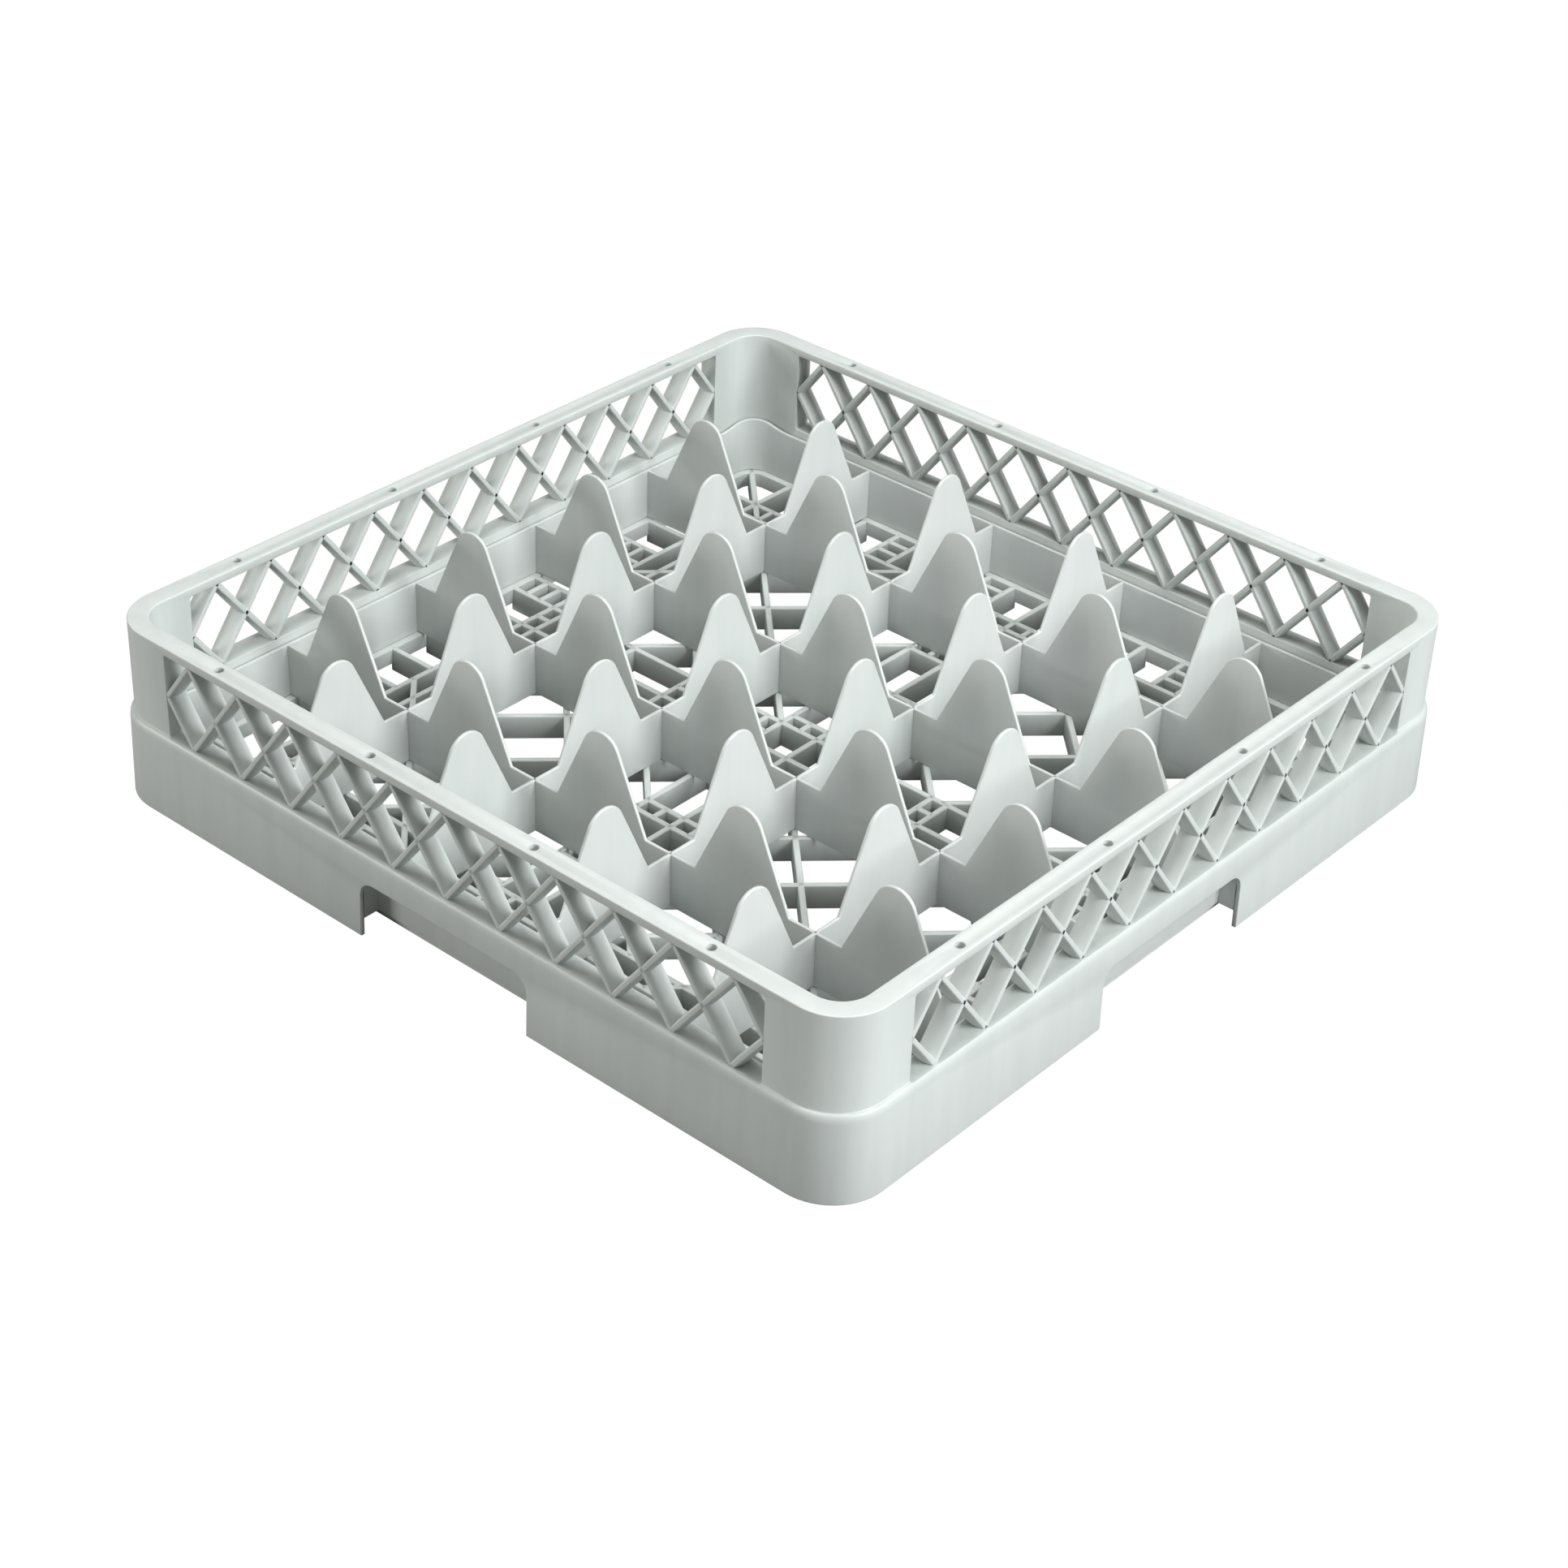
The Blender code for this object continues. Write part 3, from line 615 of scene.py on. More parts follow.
@dataclass(frozen=True)
class MouldedPlastic:
    """Light grey polypropylene from a spark-eroded mould, satin and a little cloudy."""

    name: str
    colour: Colour
    shade: Colour
    # The lighter edge colour is a painted highlight on the moulded edges.
    edge_highlight_colour: Colour
    roughness: float = 0.42
    roughness_swing: float = 0.10
    grain_scale: float = 1800.0
    flow_scale: float = 16.0
    bump_strength: float = 0.22
    bump_distance: float = 0.00012
    edge_radius: float = 0.0005
    edge_breakup: float = 140.0
    refraction: float = 1.49
    subsurface: float = 0.08
    subsurface_reach: float = 0.004
    subsurface_tint: tuple[float, float, float] = (1.0, 1.0, 0.9)

    def build(self, grain: bpy.types.NodeTree, edges: bpy.types.NodeTree) -> bpy.types.Material:
        """Makes the material.

        Args:
            grain: The moulding grain group.
            edges: The group of the painted edge highlight and the softened edge normal.

        Returns:
            The material.
        """
        surface = bpy.data.materials.new(self.name)
        surface.use_nodes = True
        tree = surface.node_tree
        shader = tree.nodes["Principled BSDF"]
        place = tree.nodes.new("ShaderNodeTexCoord").outputs["Object"]
        texture = self._group(tree, grain, place, {
            "Grain Scale": self.grain_scale, "Flow Scale": self.flow_scale})
        edge_highlight_node = self._group(tree, edges, place, {
            "Radius": self.edge_radius, "Breakup": self.edge_breakup})
        clouded = self._mix(tree, texture.outputs["Cloud"], self.shade, self.colour)
        # Painted highlight: a lighter colour laid on the edges through the edge mask.
        highlighted_colour = self._mix(tree, edge_highlight_node.outputs["Mask"], clouded, self.edge_highlight_colour)
        tree.links.new(highlighted_colour, shader.inputs["Base Color"])
        swing = tree.nodes.new("ShaderNodeMapRange")
        swing.inputs["To Min"].default_value = self.roughness - self.roughness_swing
        swing.inputs["To Max"].default_value = self.roughness + self.roughness_swing
        tree.links.new(texture.outputs["Mottle"], swing.inputs["Value"])
        tree.links.new(swing.outputs["Result"], shader.inputs["Roughness"])
        bump = tree.nodes.new("ShaderNodeBump")
        bump.inputs["Strength"].default_value = self.bump_strength
        bump.inputs["Distance"].default_value = self.bump_distance
        tree.links.new(texture.outputs["Height"], bump.inputs["Height"])
        tree.links.new(edge_highlight_node.outputs["Normal"], bump.inputs["Normal"])
        tree.links.new(bump.outputs["Normal"], shader.inputs["Normal"])
        shader.inputs["IOR"].default_value = self.refraction
        shader.inputs["Subsurface Weight"].default_value = self.subsurface
        shader.inputs["Subsurface Radius"].default_value = self.subsurface_tint
        shader.inputs["Subsurface Scale"].default_value = self.subsurface_reach
        return surface

    @staticmethod
    def _group(tree: bpy.types.NodeTree, group: bpy.types.NodeTree, place: bpy.types.NodeSocket,
               values: dict) -> bpy.types.Node:
        """Puts a shared group into a material and fills its inputs.

        Args:
            tree: The material's nodes.
            group: The shared group.
            place: Where on the surface it is read.
            values: Input names and values.

        Returns:
            The group's node.
        """
        node = tree.nodes.new("ShaderNodeGroup")
        node.node_tree = group
        tree.links.new(place, node.inputs["Place"])
        for name, value in values.items():
            node.inputs[name].default_value = value
        return node

    @staticmethod
    def _mix(tree: bpy.types.NodeTree, share: bpy.types.NodeSocket, first: object, second: Colour
             ) -> bpy.types.NodeSocket:
        """Mixes a colour with a second one by a mask.

        Args:
            tree: The material's nodes.
            share: Mask that says how much of the second colour is used.
            first: A colour or the socket of one.
            second: A colour.

        Returns:
            The mixed colour.
        """
        node = tree.nodes.new("ShaderNodeMix")
        node.data_type = "RGBA"
        tree.links.new(share, node.inputs["Factor"])
        first_socket, second_socket = (socket for socket in node.inputs if socket.type == "RGBA")
        second_socket.default_value = second
        if isinstance(first, bpy.types.NodeSocket):
            tree.links.new(first, first_socket)
        else:
            first_socket.default_value = first
        return next(socket for socket in node.outputs if socket.type == "RGBA")


# The lighter edge colours of both plastics are painted highlights on the moulded edges.
RACK_PLASTIC = MouldedPlastic(
    "rack_polypropylene", colour=(0.66, 0.69, 0.67, 1.0), shade=(0.60, 0.63, 0.61, 1.0),
    edge_highlight_colour=(0.78, 0.80, 0.79, 1.0))
DIVIDER_PLASTIC = MouldedPlastic(
    "divider_polypropylene", colour=(0.68, 0.70, 0.69, 1.0), shade=(0.63, 0.66, 0.64, 1.0),
    edge_highlight_colour=(0.80, 0.82, 0.81, 1.0), roughness=0.38)


# ---------------------------------------------------------------- the rack


@dataclass
class Shell:
    """One-piece wall moulding: hollow skirt, ledge, posts, rim, windows, hand-holds and rim holes.

    Distances out are measured from the middle of the rack and heights from its foot, in metres.
    """

    finish: bpy.types.Material
    half_width: float = 0.0
    height: float = 0.0
    inner: float = 0.0
    step_height: float = 0.0
    rim_half: float = 0.0
    grip_half: float = 57.25 * MM
    grip_height: float = 33.5 * MM
    corner_radius: float = 31.3 * MM
    corner_steps: int = 14
    skirt_inset: float = 0.95 * MM
    skin: float = 2.5 * MM
    foot_round: float = 0.8 * MM
    rim_round: float = 0.6 * MM
    round_steps: int = 4
    rim_steps: int = 5
    ledge_fall: float = 3.2 * MM
    ledge_above_sill: float = 0.3 * MM
    ledge_fillet: float = 0.6 * MM
    ledge_steps: int = 8
    sill_above_step: float = 1.2 * MM
    lip: float = 2.6 * MM
    inner_foot: float = 9.5 * MM
    window_half: float = 200.5 * MM
    window_below_top: float = 4.8 * MM
    window_round: float = 1.5 * MM
    grip_round: float = 9.0 * MM
    grip_steps: int = 6
    panel_gap: float = 0.5 * MM
    overcut: float = 2.0 * MM
    web_width: float = 2.0 * MM
    web_overlap: float = 0.2 * MM
    web_shares: tuple[float, ...] = (0.42, 0.82)
    hole_radius: float = 2.7 * MM
    hole_line: float = 241.3 * MM
    hole_near: float = 54.7 * MM
    hole_places: tuple[int, ...] = (-3, -1, 1, 3)
    hole_depth: float = 5.6 * MM
    hole_facets: int = 28
    edge_soft: float = 0.45 * MM
    edge_segments: int = 2
    edge_angle: float = 55.0
    sharp_angle: float = 32.0

    def __post_init__(self) -> None:
        """Reads the main sizes from the solid model."""
        low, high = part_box("skirt_front")
        rim_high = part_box("rim")[1]
        self.half_width = -low[1]
        self.step_height = high[2]
        self.inner = -high[1]
        self.rim_half = rim_high[0]
        self.height = rim_high[2]

    @property
    def centre(self) -> float:
        """Distance of the corner centres from the middle."""
        return self.half_width - self.corner_radius

    @property
    def web_top(self) -> float:
        """Upper face of the web that closes the skirt."""
        return self.step_height - self.lip

    @property
    def sill(self) -> float:
        """Lower edge of the windows."""
        return self.step_height + self.sill_above_step

    @property
    def window_top(self) -> float:
        """Upper edge of the windows."""
        return self.height - self.window_below_top

    def section(self) -> Outline:
        """Wall section with every moulded edge rounded, from the foot of the skin round to its inside.

        Returns:
            The closed outline as (distance out, height).
        """
        foot, rim, fillet, steps = self.foot_round, self.rim_round, self.ledge_fillet, self.round_steps
        ledge_top = self.sill + self.ledge_above_sill
        ledge_drop = ledge_top - self.step_height + self.ledge_fall
        ledge_run = self.half_width - self.skirt_inset - self.rim_half - fillet
        web = self.web_top - self.skin
        points: Outline = []
        points += arc((self.half_width - foot, foot), foot, -QUARTER, 0, steps)
        points += [(self.rim_half + fillet + ledge_run * across, ledge_top - ledge_drop * (1.0 - up))
                   for across, up in arc((0.0, 0.0), 1.0, 0, QUARTER, self.ledge_steps)]
        hollow = arc((self.rim_half + fillet, ledge_top + fillet), fillet, 3 * QUARTER, 2 * QUARTER, steps)
        points += hollow[1:]
        points += arc((self.rim_half - rim, self.height - rim), rim, 0, QUARTER, self.rim_steps)
        points += arc((self.inner + foot, self.height - foot), foot, QUARTER, 2 * QUARTER, steps)
        points += arc((self.inner + foot, self.inner_foot + foot), foot, 2 * QUARTER, 3 * QUARTER, steps)
        points += [(self.inner + self.skin, self.inner_foot), (self.inner + self.skin, web),
                   (self.half_width - self.skin - self.skirt_inset, web), (self.half_width - self.skin, 0.0)]
        return points

    def window_cutter(self, turns: int) -> bmesh.types.BMesh:
        """Rounded window through one wall.

        Args:
            turns: Right angles from the front wall.

        Returns:
            The cutter.
        """
        radius, along = self.window_round, self.window_half - self.window_round
        low, high = self.sill + radius, self.window_top - radius
        outline: Outline = []
        for quarter, centre in enumerate(((along, low), (along, high), (-along, high), (-along, low))):
            start = (quarter - 1) * QUARTER
            outline += arc(centre, radius, start, start + QUARTER, self.round_steps)
        near, far = self.inner - self.overcut, self.half_width + self.overcut
        return self._turned(prism(outline, near, far, on_front), turns)

    def grip_cutter(self, turns: int) -> bmesh.types.BMesh:
        """Hand-hold shape through the outer skin, open at the foot.

        Args:
            turns: Right angles from the front wall.

        Returns:
            The cutter.
        """
        radius, half = self.grip_round, self.grip_half
        up = self.grip_height - radius
        outline: Outline = [(-half, -self.overcut), (half, -self.overcut)]
        outline += arc((half - radius, up), radius, 0, QUARTER, self.grip_steps)
        outline += arc((radius - half, up), radius, QUARTER, 2 * QUARTER, self.grip_steps)
        near, far = self.inner + self.skin + self.panel_gap, self.half_width + self.overcut
        return self._turned(prism(outline, near, far, on_front), turns)

    @staticmethod
    def _turned(builder: bmesh.types.BMesh, turns: int) -> bmesh.types.BMesh:
        """Turns a shape about the rack's middle by right angles."""
        bmesh.ops.rotate(builder, verts=builder.verts, cent=(0.0, 0.0, 0.0),
                         matrix=Matrix.Rotation(turns * RIGHT_ANGLE, 3, "Z"))
        return builder

    def hole_cutter(self) -> bmesh.types.BMesh:
        """All the round holes of the rim.

        Returns:
            The cutter.
        """
        builder = bmesh.new()
        line = self.hole_line
        for place in self.hole_places:
            along = place * self.hole_near
            for x, y in ((along, line), (along, -line), (line, along), (-line, along)):
                bmesh.ops.create_cone(
                    builder, cap_ends=True, segments=self.hole_facets, radius1=self.hole_radius,
                    radius2=self.hole_radius, depth=2 * self.hole_depth,
                    matrix=Matrix.Translation((x, y, self.height)))
        return builder

    def webs(self) -> bmesh.types.BMesh:
        """Upright webs beside each hand-hold, the lintel over it and stiffening webs under the skirt.

        Returns:
            The webs of all four walls.
        """
        whole = bmesh.new()
        inside, outside = self.inner + self.skin - self.web_overlap, self.half_width - self.skin
        top = self.web_top - self.skin + self.web_overlap
        spans = [(-self.grip_half - self.skin, self.grip_half + self.skin, self.grip_height, top)]
        for side in (-1, 1):
            near, far = side * self.grip_half, side * (self.grip_half + self.skin)
            spans.append((min(near, far), max(near, far), self.inner_foot, top))
            for share in self.web_shares:
                spot = side * (self.grip_half + share * (self.centre - self.grip_half))
                spans.append((spot - self.web_width / 2, spot + self.web_width / 2, self.inner_foot, top))
        for turns in range(len(SIDES)):
            turn = Matrix.Rotation(turns * RIGHT_ANGLE, 4, "Z")
            for low, high, foot, head in spans:
                size = Vector((high - low, outside - inside, head - foot))
                middle = Vector(((low + high) / 2, -(inside + outside) / 2, (foot + head) / 2))
                place = turn @ Matrix.Translation(middle) @ Matrix.Diagonal((*size, 1.0))
                bmesh.ops.create_cube(whole, size=1.0, matrix=place)
        return whole

    def build(self) -> bpy.types.Object:
        """Builds and dresses the shell.

        Returns:
            The finished piece.
        """
        wall = swept_ring(self.section(), self.centre, self.corner_steps)
        shell = new_object("wall_moulding", mesh_from("wall", wall))
        for turns, side in enumerate(SIDES):
            cut(shell, self.window_cutter(turns), "window_" + side)
            cut(shell, self.grip_cutter(turns), "grip_" + side)
        cut(shell, self.hole_cutter(), "rim_holes")
        soften(shell, self.edge_soft, self.edge_segments, self.edge_angle)
        shell.data = joined_mesh("wall_moulding", shell.data, mesh_from("webs", self.webs()))
        smooth_round(shell.data, self.sharp_angle)
        shell.data.materials.append(self.finish)
        nodes = ["rim"] + ["corner_post_" + name for name in CORNERS]
        nodes += ["skirt_" + name for name in SIDES] + ["skirt_corner_" + name for name in CORNERS]
        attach(shell, Body.RACK.value)
        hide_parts(*nodes)
        return shell


@dataclass
class LatticeWindows:
    """Two sets of deep crossing ribs that fill the window in each wall."""

    shell: Shell
    finish: bpy.types.Material
    pitches: int = 11
    edge_width: float = 2.7 * MM
    middle_width: float = 4.6 * MM
    rounding: float = 0.5 * MM
    face_ease: float = 0.12 * MM
    face_share: float = 0.045
    belly_ease: float = 0.1 * MM
    belly_share: float = 0.32
    recess: float = 0.08 * MM
    overrun: float = 2.0 * MM
    sharp_angle: float = 50.0

    def rib(self) -> bpy.types.Object:
        """Rib along Z with unit depth along Y, thickest at half depth as the two draughts leave it.

        Returns:
            The rib's shape.
        """
        length = math.hypot(self.rise, self.pitch) + 2 * self.overrun
        half, belly = self.edge_width / 2, self.middle_width / 2
        inner_side = [(half - self.rounding, 0.0), (half - self.face_ease, self.face_share * HALF),
                      (half, self.face_share), (belly - self.belly_ease, self.belly_share)]
        outer_side = [(across, 1.0 - deep) for across, deep in inner_side[::-1]]
        side = inner_side + [(belly, HALF)] + outer_side
        outline = side + [(-across, deep) for across, deep in side[::-1]]
        mesh = mesh_from("lattice_rib", prism(outline, -length / 2, length / 2, flat))
        smooth_round(mesh, self.sharp_angle)
        return new_object("lattice_rib_shape", mesh)

    @property
    def pitch(self) -> float:
        """Distance between two ribs that lean the same way."""
        return 2 * self.shell.window_half / self.pitches

    @property
    def rise(self) -> float:
        """Height of the windows."""
        return self.shell.window_top - self.shell.sill

    def build(self) -> bpy.types.Object:
        """Builds and dresses the ribs of all four windows.

        Returns:
            The finished piece.
        """
        rib = self.rib()
        piece = new_object("lattice_ribs", bpy.data.meshes.new("lattice_ribs"))
        run_tree(piece, lattice_tree(), {
            "Rib": rib, "Finish": self.finish, "Count": self.pitches + 1, "Walls": len(SIDES),
            "Pitch": self.pitch, "Middle Height": self.shell.sill + self.rise / 2,
            "Lean Angle": math.atan2(self.pitch, self.rise), "Inner Face": self.shell.inner + self.recess,
            "Outer Face": self.shell.rim_half - self.recess})
        bpy.data.objects.remove(rib)
        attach(piece, Body.RACK.value)
        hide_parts(*["lattice_" + name for name in SIDES])
        return piece


@dataclass
class FloorGrid:
    """Open floor of straight, crossed and diagonal ribs inside a raised border.

    Fields times MM are in metres. The places and pitches of the ribs are in millimetres from the middle.
    """

    shell: Shell
    finish: bpy.types.Material
    top: float = 0.0
    rib_width: float = 3.4 * MM
    rounding: float = 0.7 * MM
    foot_chamfer: float = 0.3 * MM
    round_steps: int = 3
    sharp_angle: float = 50.0
    border: float = 228.0 * MM
    border_foot: float = 5.0 * MM
    border_overlap: float = 0.1 * MM
    rib_overlap: float = 1.0
    frame: float = 197.5 * MM
    inner_frame: float = 183.5 * MM
    arm: float = 25.0 * MM
    arm_ribs: tuple[float, ...] = (34.5, 79.3, 89.5, 134.0, 144.5, 187.5)
    arm_ladders: tuple[tuple[float, float], ...] = (
        (25.0, 34.5), (79.3, 89.5), (134.0, 144.5), (187.5, 197.5))
    arm_rung: float = 12.3
    edge_ribs: tuple[float, ...] = (42.5, 68.5, 95.5, 111.5, 137.5)
    edge_ladders: tuple[tuple[float, float], ...] = ((25.0, 42.5), (95.5, 111.5))
    edge_rungs: tuple[float, ...] = (208.8, 219.2)
    diagonal_pitch: float = 61.0
    diagonal_count: int = 2
    cross_diagonals: tuple[float, ...] = (104.5, 163.0, 221.5)
    long_diagonal: float = 280.0
    runs: list[tuple[Vector, Vector]] = field(default_factory=list)

    def __post_init__(self) -> None:
        """Reads the floor's height from the solid model."""
        self.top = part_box("floor_grid")[1][2]

    def add(self, x1: float, y1: float, x2: float, y2: float) -> None:
        """Adds a rib between two points, given in millimetres."""
        self.runs.append((Vector((x1, y1)) * MM, Vector((x2, y2)) * MM))

    def lay_out(self) -> None:
        """Lists one quarter turn of the pattern and repeats it four times."""
        frame, inner, arm = self.frame / MM, self.inner_frame / MM, self.arm / MM
        edge = self.border / MM + self.rib_overlap
        for line in (frame, arm):
            self.add(line, -edge, line, edge)
        self.add(0.0, 0.0, 0.0, edge)
        for line in self.arm_ribs:
            self.add(-arm, line, arm, line)
        for low, high in self.arm_ladders:
            for side in (-1, 1):
                self.add(side * self.arm_rung, low, side * self.arm_rung, high)
        for side in (-1, 1):
            for line in self.edge_ribs:
                self.add(side * line, frame, side * line, edge)
            for low, high in self.edge_ladders:
                for rung in self.edge_rungs:
                    self.add(side * low, rung, side * high, rung)
            self.add(side * arm, inner, side * frame, inner)
        for index in range(-self.diagonal_count, self.diagonal_count + 1):
            shift = index * self.diagonal_pitch
            reach = inner if index else edge
            right, left = max(shift, 0.0), min(shift, 0.0)
            self.add(arm + right, arm - left, reach + left, reach - right)
        for total in self.cross_diagonals:
            low, high = max(arm, total - inner), min(inner, total - arm)
            self.add(low, total - low, high, total - high)
        self.add(self.long_diagonal - frame, frame, frame, self.long_diagonal - frame)
        quarter = list(self.runs)
        for turns in range(1, len(SIDES)):
            spin = Matrix.Rotation(turns * RIGHT_ANGLE, 2)
            self.runs += [(spin @ start, spin @ stop) for start, stop in quarter]

    def points(self) -> bpy.types.Mesh:
        """One point for each rib, carrying its length and its turn.

        Returns:
            The points.
        """
        mesh = bpy.data.meshes.new("floor_rib_points")
        middles = [(start + stop) / 2 for start, stop in self.runs]
        mesh.from_pydata([(middle.x, middle.y, 0.0) for middle in middles], [], [])
        length = mesh.attributes.new("length", "FLOAT", "POINT")
        turn = mesh.attributes.new("turn", "FLOAT", "POINT")
        for index, (start, stop) in enumerate(self.runs):
            run = stop - start
            length.data[index].value = run.length
            turn.data[index].value = math.atan2(run.y, run.x)
        return mesh

    def rib(self) -> bpy.types.Object:
        """Rib of unit length along X with rounded top edges.

        Returns:
            The rib's shape.
        """
        half, foot, soft, steps = self.rib_width / 2, self.foot_chamfer, self.rounding, self.round_steps
        outline = [(-half + foot, 0.0), (half - foot, 0.0), (half, foot)]
        outline += arc((half - soft, self.top - soft), soft, 0, QUARTER, steps)
        outline += arc((soft - half, self.top - soft), soft, QUARTER, 2 * QUARTER, steps)
        outline += [(-half, foot)]
        mesh = mesh_from("floor_rib", prism(outline, -HALF, HALF, along_floor))
        smooth_round(mesh, self.sharp_angle)
        return new_object("floor_rib_shape", mesh)

    def border_ring(self) -> bmesh.types.BMesh:
        """Raised border that joins the ribs to the wall.

        Returns:
            A closed bmesh.
        """
        low, high, soft = self.border_foot, self.top, self.rounding
        outside = self.shell.inner + self.border_overlap
        section = [(self.border, low), (outside, low), (outside, high)]
        section += arc((self.border + soft, high - soft), soft, QUARTER, 2 * QUARTER, self.round_steps)
        return swept_ring(section, self.shell.centre, self.shell.corner_steps)

    def build(self) -> bpy.types.Object:
        """Builds and dresses the floor.

        Returns:
            The finished piece.
        """
        self.lay_out()
        rib = self.rib()
        piece = new_object("floor_ribs", self.points())
        run_tree(piece, ribs_on_points_tree(), {"Rib": rib, "Finish": self.finish})
        bpy.data.objects.remove(rib)
        piece.data = joined_mesh("floor_ribs", piece.data, mesh_from("border", self.border_ring()))
        smooth_round(piece.data, self.sharp_angle)
        piece.data.materials.append(self.finish)
        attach(piece, Body.RACK.value)
        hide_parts("floor_grid")
        return piece


@dataclass
class Divider:
    """Lift-out divider: a thin band round the inside and eight wavy strips that cross each other."""

    shell: Shell
    finish: bpy.types.Material
    compartments: int = 5
    hump_peak: float = 94.2 * MM
    hump_radius: float = 12.0 * MM
    hump_slope: float = 2.18
    hump_steps: int = 28
    rounding: float = 0.55 * MM
    rounding_segments: int = 3
    rounding_angle: float = 60.0
    band_rounding: float = 0.3 * MM
    band_steps: int = 3
    band_overlap: float = 0.4 * MM
    sharp_angle: float = 40.0
    corner_rise: float = 3.3 * MM
    corner_leg: float = 14.0 * MM
    leg_steps: int = 6

    def __post_init__(self) -> None:
        """Reads the strips' places from the solid model."""
        low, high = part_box("divider_across_1")
        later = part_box("divider_across_2")[0]
        band_low, band_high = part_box("band_front")
        self.foot = low[2]
        self.thickness = high[1] - low[1]
        self.pitch = later[1] - low[1]
        self.level = band_high[2]
        self.band_out = -band_low[1]
        self.band_in = -band_high[1]

    def outline(self) -> Outline:
        """Side view of a strip, from its lower left corner.

        Returns:
            The closed outline as (along, height).
        """
        tilt = math.atan(self.hump_slope)
        lean = math.degrees(tilt)
        rise = self.hump_peak - self.hump_radius
        reach = self.hump_radius * math.sin(tilt)
        reach += (rise + self.hump_radius * math.cos(tilt) - self.level) / self.hump_slope
        end = self.band_in + self.band_overlap
        points: Outline = [(-end, self.foot), (end, self.foot), (end, self.level)]
        for index in reversed(range(self.compartments)):
            centre = (index - (self.compartments - 1) / 2) * self.pitch
            points.append((centre + reach, self.level))
            points += arc((centre, rise), self.hump_radius, QUARTER - lean, QUARTER + lean, self.hump_steps)
            points.append((centre - reach, self.level))
        points.append((-end, self.level))
        return points

    def strip(self) -> bpy.types.Object:
        """One wavy strip along X with softly rounded edges.

        Returns:
            The strip's shape.
        """
        half = self.thickness / 2
        shape = new_object("strip_shape", mesh_from("strip", prism(self.outline(), -half, half, on_front)))
        soften(shape, self.rounding, self.rounding_segments, self.rounding_angle)
        smooth_round(shape.data, self.sharp_angle)
        return shape

    def strips(self) -> bpy.types.Object:
        """Builds and dresses all eight strips as one piece.

        Returns:
            The finished piece.
        """
        strip = self.strip()
        piece = new_object("divider_strips", bpy.data.meshes.new("divider_strips"))
        run_tree(piece, strips_tree(), {
            "Strip": strip, "Finish": self.finish, "Count": self.compartments - 1, "Pitch": self.pitch})
        bpy.data.objects.remove(strip)
        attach(piece, Body.INSERT.value)
        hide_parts(*[f"divider_{way}_{index}" for way in ("across", "along")
                             for index in range(1, self.compartments)])
        return piece

    def band_section(self) -> Outline:
        """Section of the band with a rounded top, from its inner foot.

        Returns:
            The closed outline as (distance out, height).
        """
        soft, steps = self.band_rounding, self.band_steps
        section = [(self.band_in, self.foot), (self.band_out, self.foot)]
        section += arc((self.band_out - soft, self.level - soft), soft, 0, QUARTER, steps)
        section += arc((self.band_in + soft, self.level - soft), soft, QUARTER, 2 * QUARTER, steps)
        return section

    def stations(self, arc_length: float) -> list[tuple[Vector, float, float]]:
        """Places round the band where its section is set.

        Args:
            arc_length: Length of a corner along the band's middle line.

        Returns:
            For each place, the centre it is measured from, its outward angle and its distance along the band
            from the middle of its corner.
        """
        places: list[tuple[Vector, float, float]] = []
        legs = [self.corner_leg * step / self.leg_steps for step in range(1, self.leg_steps + 1)]
        for corner in range(len(CORNERS)):
            middle = corner_middle(corner, self.shell.centre)
            before, after = (corner - 1) * RIGHT_ANGLE, corner * RIGHT_ANGLE
            back, ahead = outward(before - RIGHT_ANGLE), outward(after + RIGHT_ANGLE)
            places += [(middle + back * far, before, -arc_length / 2 - far) for far in reversed(legs)]
            for step in range(self.shell.corner_steps + 1):
                share = step / self.shell.corner_steps
                places.append((middle, before + share * RIGHT_ANGLE, (share - HALF) * arc_length))
            places += [(middle + ahead * far, after, arc_length / 2 + far) for far in legs]
        return places

    def band(self) -> bpy.types.Object:
        """Builds and dresses the band, whose top rises a little at each corner.

        Returns:
            The finished piece.
        """
        section, centre = self.band_section(), self.shell.centre
        arc_length = ((self.band_in + self.band_out) / 2 - centre) * RIGHT_ANGLE
        reach = self.corner_leg + arc_length / 2
        builder = bmesh.new()
        rings = []
        for middle, angle, along in self.stations(arc_length):
            way = outward(angle)
            rise = self.corner_rise / 2 * (1 + math.cos(math.pi * min(1.0, abs(along) / reach)))
            ring = []
            for out, up in section:
                lifted = up + rise if up > self.foot else up
                ring.append(builder.verts.new(middle + way * (out - centre) + Vector((0.0, 0.0, lifted))))
            rings.append(ring)
        close_rings(builder, rings)
        piece = new_object("divider_band", mesh_from("divider_band", builder))
        smooth_round(piece.data, self.sharp_angle)
        piece.data.materials.append(self.finish)
        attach(piece, Body.INSERT.value)
        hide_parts(*["band_" + name for name in SIDES], *["band_corner_" + name for name in CORNERS])
        return piece


# ---------------------------------------------------------------- studio


@dataclass(frozen=True)
class Softbox:
    """Square soft light aimed at the middle of the rack."""

    name: str
    place: tuple[float, float, float]
    size: float
    power: float
    colour: tuple[float, float, float] = (1.0, 1.0, 1.0)

    def build(self) -> None:
        """Adds the light."""
        lamp = bpy.data.lights.new(self.name, "AREA")
        lamp.size = self.size
        lamp.energy = self.power
        lamp.color = self.colour
        thing = bpy.data.objects.new(self.name, lamp)
        thing.location = self.place
        thing.rotation_euler = (-Vector(self.place)).to_track_quat("-Z", "Y").to_euler()
        bpy.context.scene.collection.objects.link(thing)


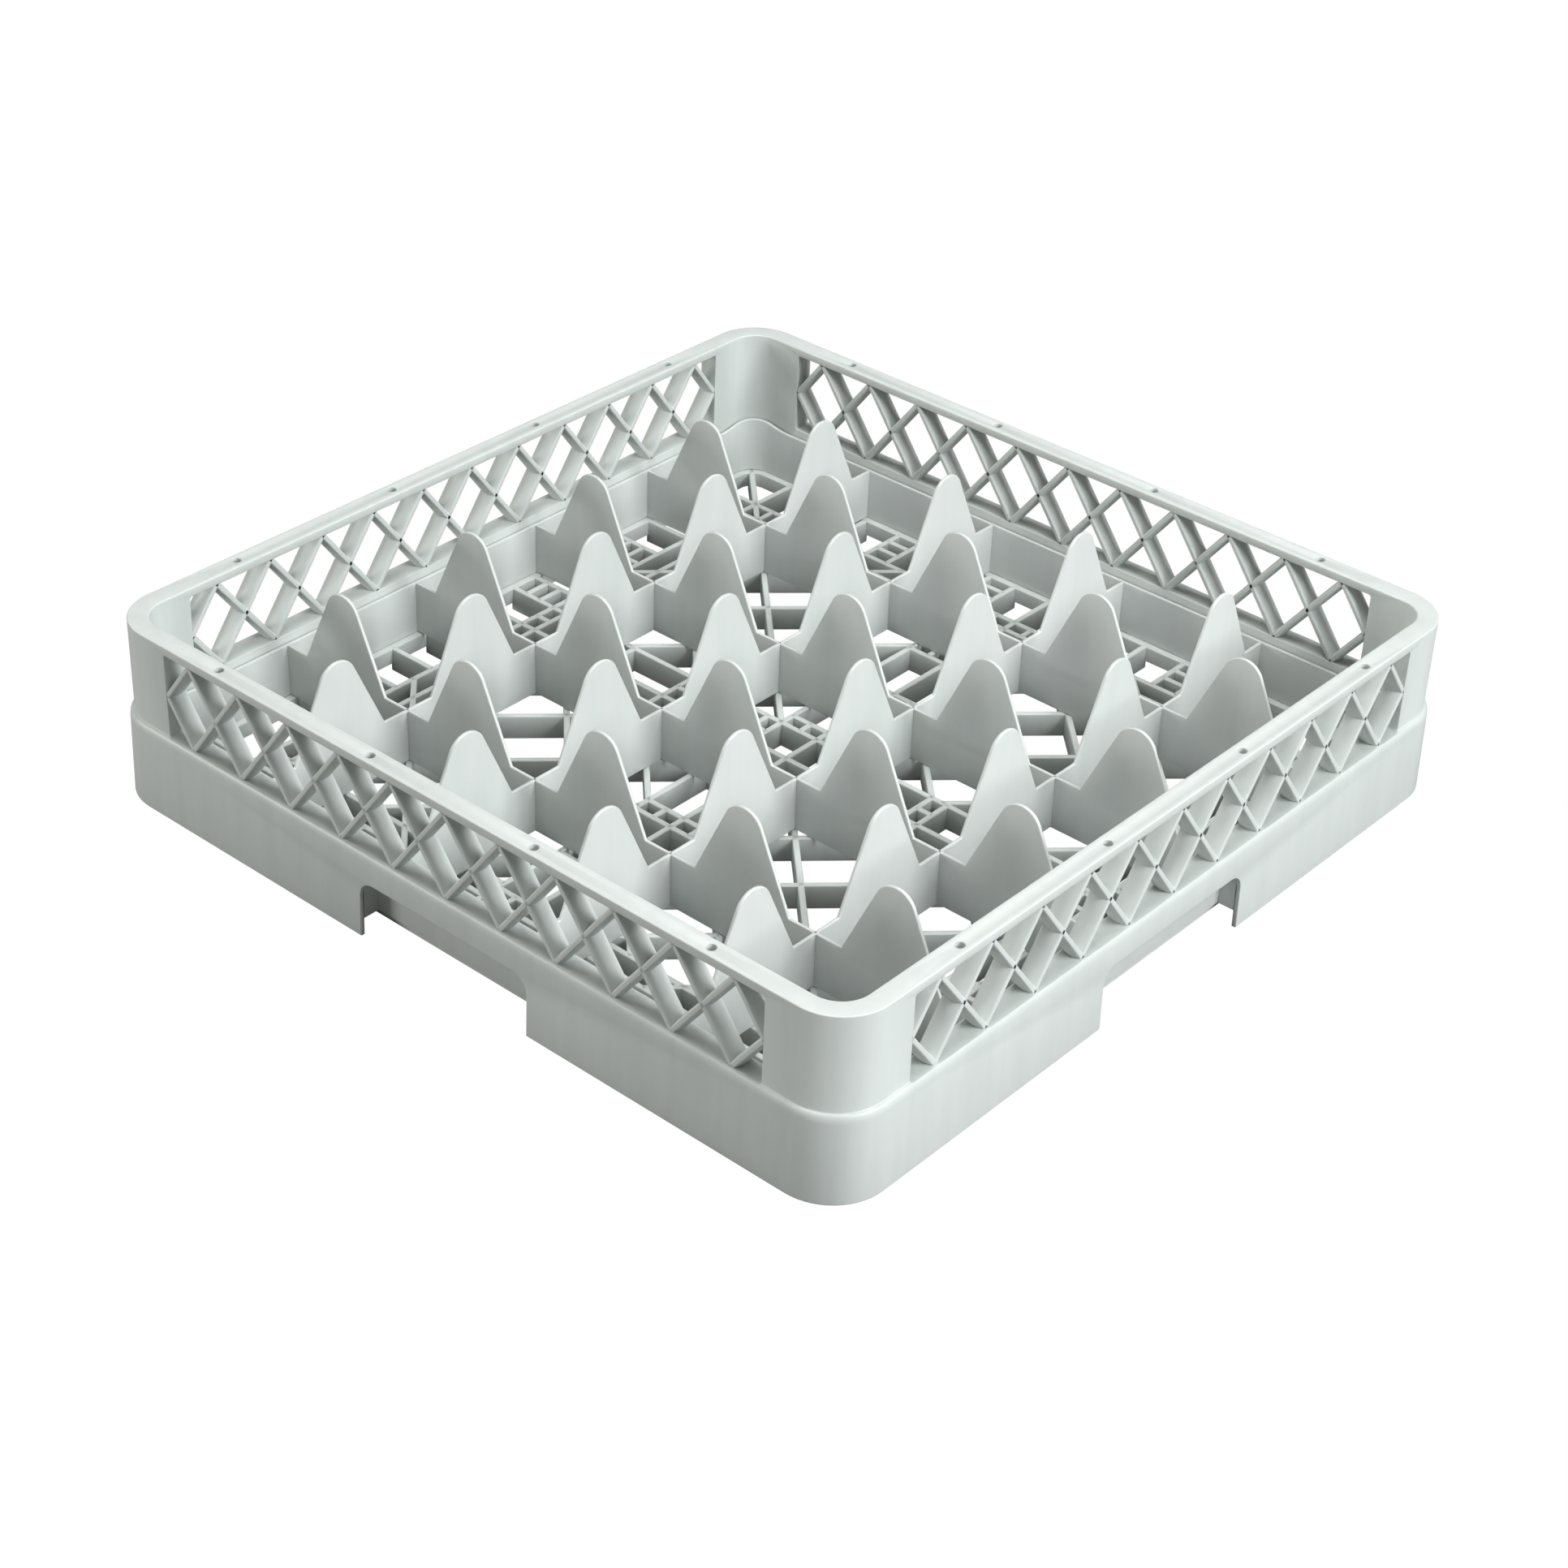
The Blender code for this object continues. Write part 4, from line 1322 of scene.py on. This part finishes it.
@dataclass(frozen=True)
class Studio:
    """Pale floor, soft light and the camera."""

    azimuth: float = 39.918
    elevation: float = 33.593
    roll: float = 2.477
    lens: float = 72.35
    sensor: float = 36.0
    distance: float = 1.673997
    aside: float = -0.000453
    above: float = -0.002325
    near_clip: float = 0.05
    floor_size: float = 300.0
    floor_gap: float = 0.2 * MM
    floor_colour: Colour = (0.20, 0.20, 0.20, 1.0)
    floor_roughness: float = 0.9
    surround: Colour = (0.97, 1.0, 0.97, 1.0)
    ambient: float = 0.14
    softboxes: tuple[Softbox, ...] = (
        Softbox("key_right", (2.28, 0.20, 1.43), 1.2, 76.0, (0.96, 0.99, 1.0)),
        Softbox("overhead", (-0.05, -0.06, 2.6), 1.4, 41.0),
        Softbox("fill_left", (-2.0, -2.2, 0.6), 1.1, 37.0, (1.0, 1.0, 0.96)))

    def camera(self) -> None:
        """Adds the camera at the viewing angle."""
        turn, tip, roll = (math.radians(value) for value in (self.azimuth, self.elevation, self.roll))
        back = Vector((math.sin(turn) * math.cos(tip), -math.cos(turn) * math.cos(tip), math.sin(tip)))
        level = (-back).cross(Vector((0.0, 0.0, 1.0))).normalized()
        upright = level.cross(-back)
        right = math.cos(roll) * level + math.sin(roll) * upright
        up = -math.sin(roll) * level + math.cos(roll) * upright
        lens = bpy.data.cameras.new("camera")
        lens.lens = self.lens
        lens.sensor_width = self.sensor
        lens.sensor_fit = "HORIZONTAL"
        lens.clip_start = self.near_clip
        thing = bpy.data.objects.new("camera", lens)
        spot = back * self.distance + right * self.aside + up * self.above
        frame = Matrix((right, up, back)).transposed().to_4x4()
        thing.matrix_world = Matrix.Translation(spot) @ frame
        bpy.context.scene.collection.objects.link(thing)
        bpy.context.scene.camera = thing

    def floor(self) -> None:
        """Adds the pale floor, which reads as evenly white."""
        builder = bmesh.new()
        bmesh.ops.create_grid(builder, x_segments=1, y_segments=1, size=self.floor_size / 2)
        mesh = bpy.data.meshes.new("studio_floor")
        builder.to_mesh(mesh)
        builder.free()
        surface = bpy.data.materials.new("studio_floor")
        surface.use_nodes = True
        tree = surface.node_tree
        paint = tree.nodes["Principled BSDF"]
        paint.inputs["Base Color"].default_value = self.floor_colour
        paint.inputs["Roughness"].default_value = self.floor_roughness
        glow = tree.nodes.new("ShaderNodeEmission")
        path = tree.nodes.new("ShaderNodeLightPath")
        mix = tree.nodes.new("ShaderNodeMixShader")
        tree.links.new(path.outputs["Is Camera Ray"], mix.inputs[0])
        tree.links.new(paint.outputs[0], mix.inputs[1])
        tree.links.new(glow.outputs[0], mix.inputs[2])
        tree.links.new(mix.outputs[0], tree.nodes["Material Output"].inputs[0])
        mesh.materials.append(surface)
        floor = new_object("studio_floor", mesh)
        floor.location.z = -self.floor_gap

    def lights(self) -> None:
        """Adds the softboxes and an even surround."""
        for softbox in self.softboxes:
            softbox.build()
        world = bpy.data.worlds.new("surround")
        world.use_nodes = True
        sky = world.node_tree.nodes["Background"]
        sky.inputs["Color"].default_value = self.surround
        sky.inputs["Strength"].default_value = self.ambient
        bpy.context.scene.world = world

    def build(self) -> None:
        """Sets up the whole studio."""
        self.camera()
        self.floor()
        self.lights()
        bpy.context.scene.view_settings.view_transform = "Standard"


def main() -> None:
    """Builds every piece of the rack and the studio round it."""
    logging.basicConfig(level=logging.INFO, format="%(name)s: %(message)s")
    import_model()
    grain, edges = grain_group(), edge_group()
    rack_plastic, divider_plastic = RACK_PLASTIC.build(grain, edges), DIVIDER_PLASTIC.build(grain, edges)
    shell = Shell(rack_plastic)
    divider = Divider(shell, divider_plastic)
    pieces = [shell.build(), LatticeWindows(shell, rack_plastic).build(),
              FloorGrid(shell, rack_plastic).build(), divider.strips(), divider.band()]
    for piece in pieces:
        LOG.info("%s: %d faces", piece.name, len(piece.data.polygons))
    Studio().build()


if __name__ == "__main__":
    main()
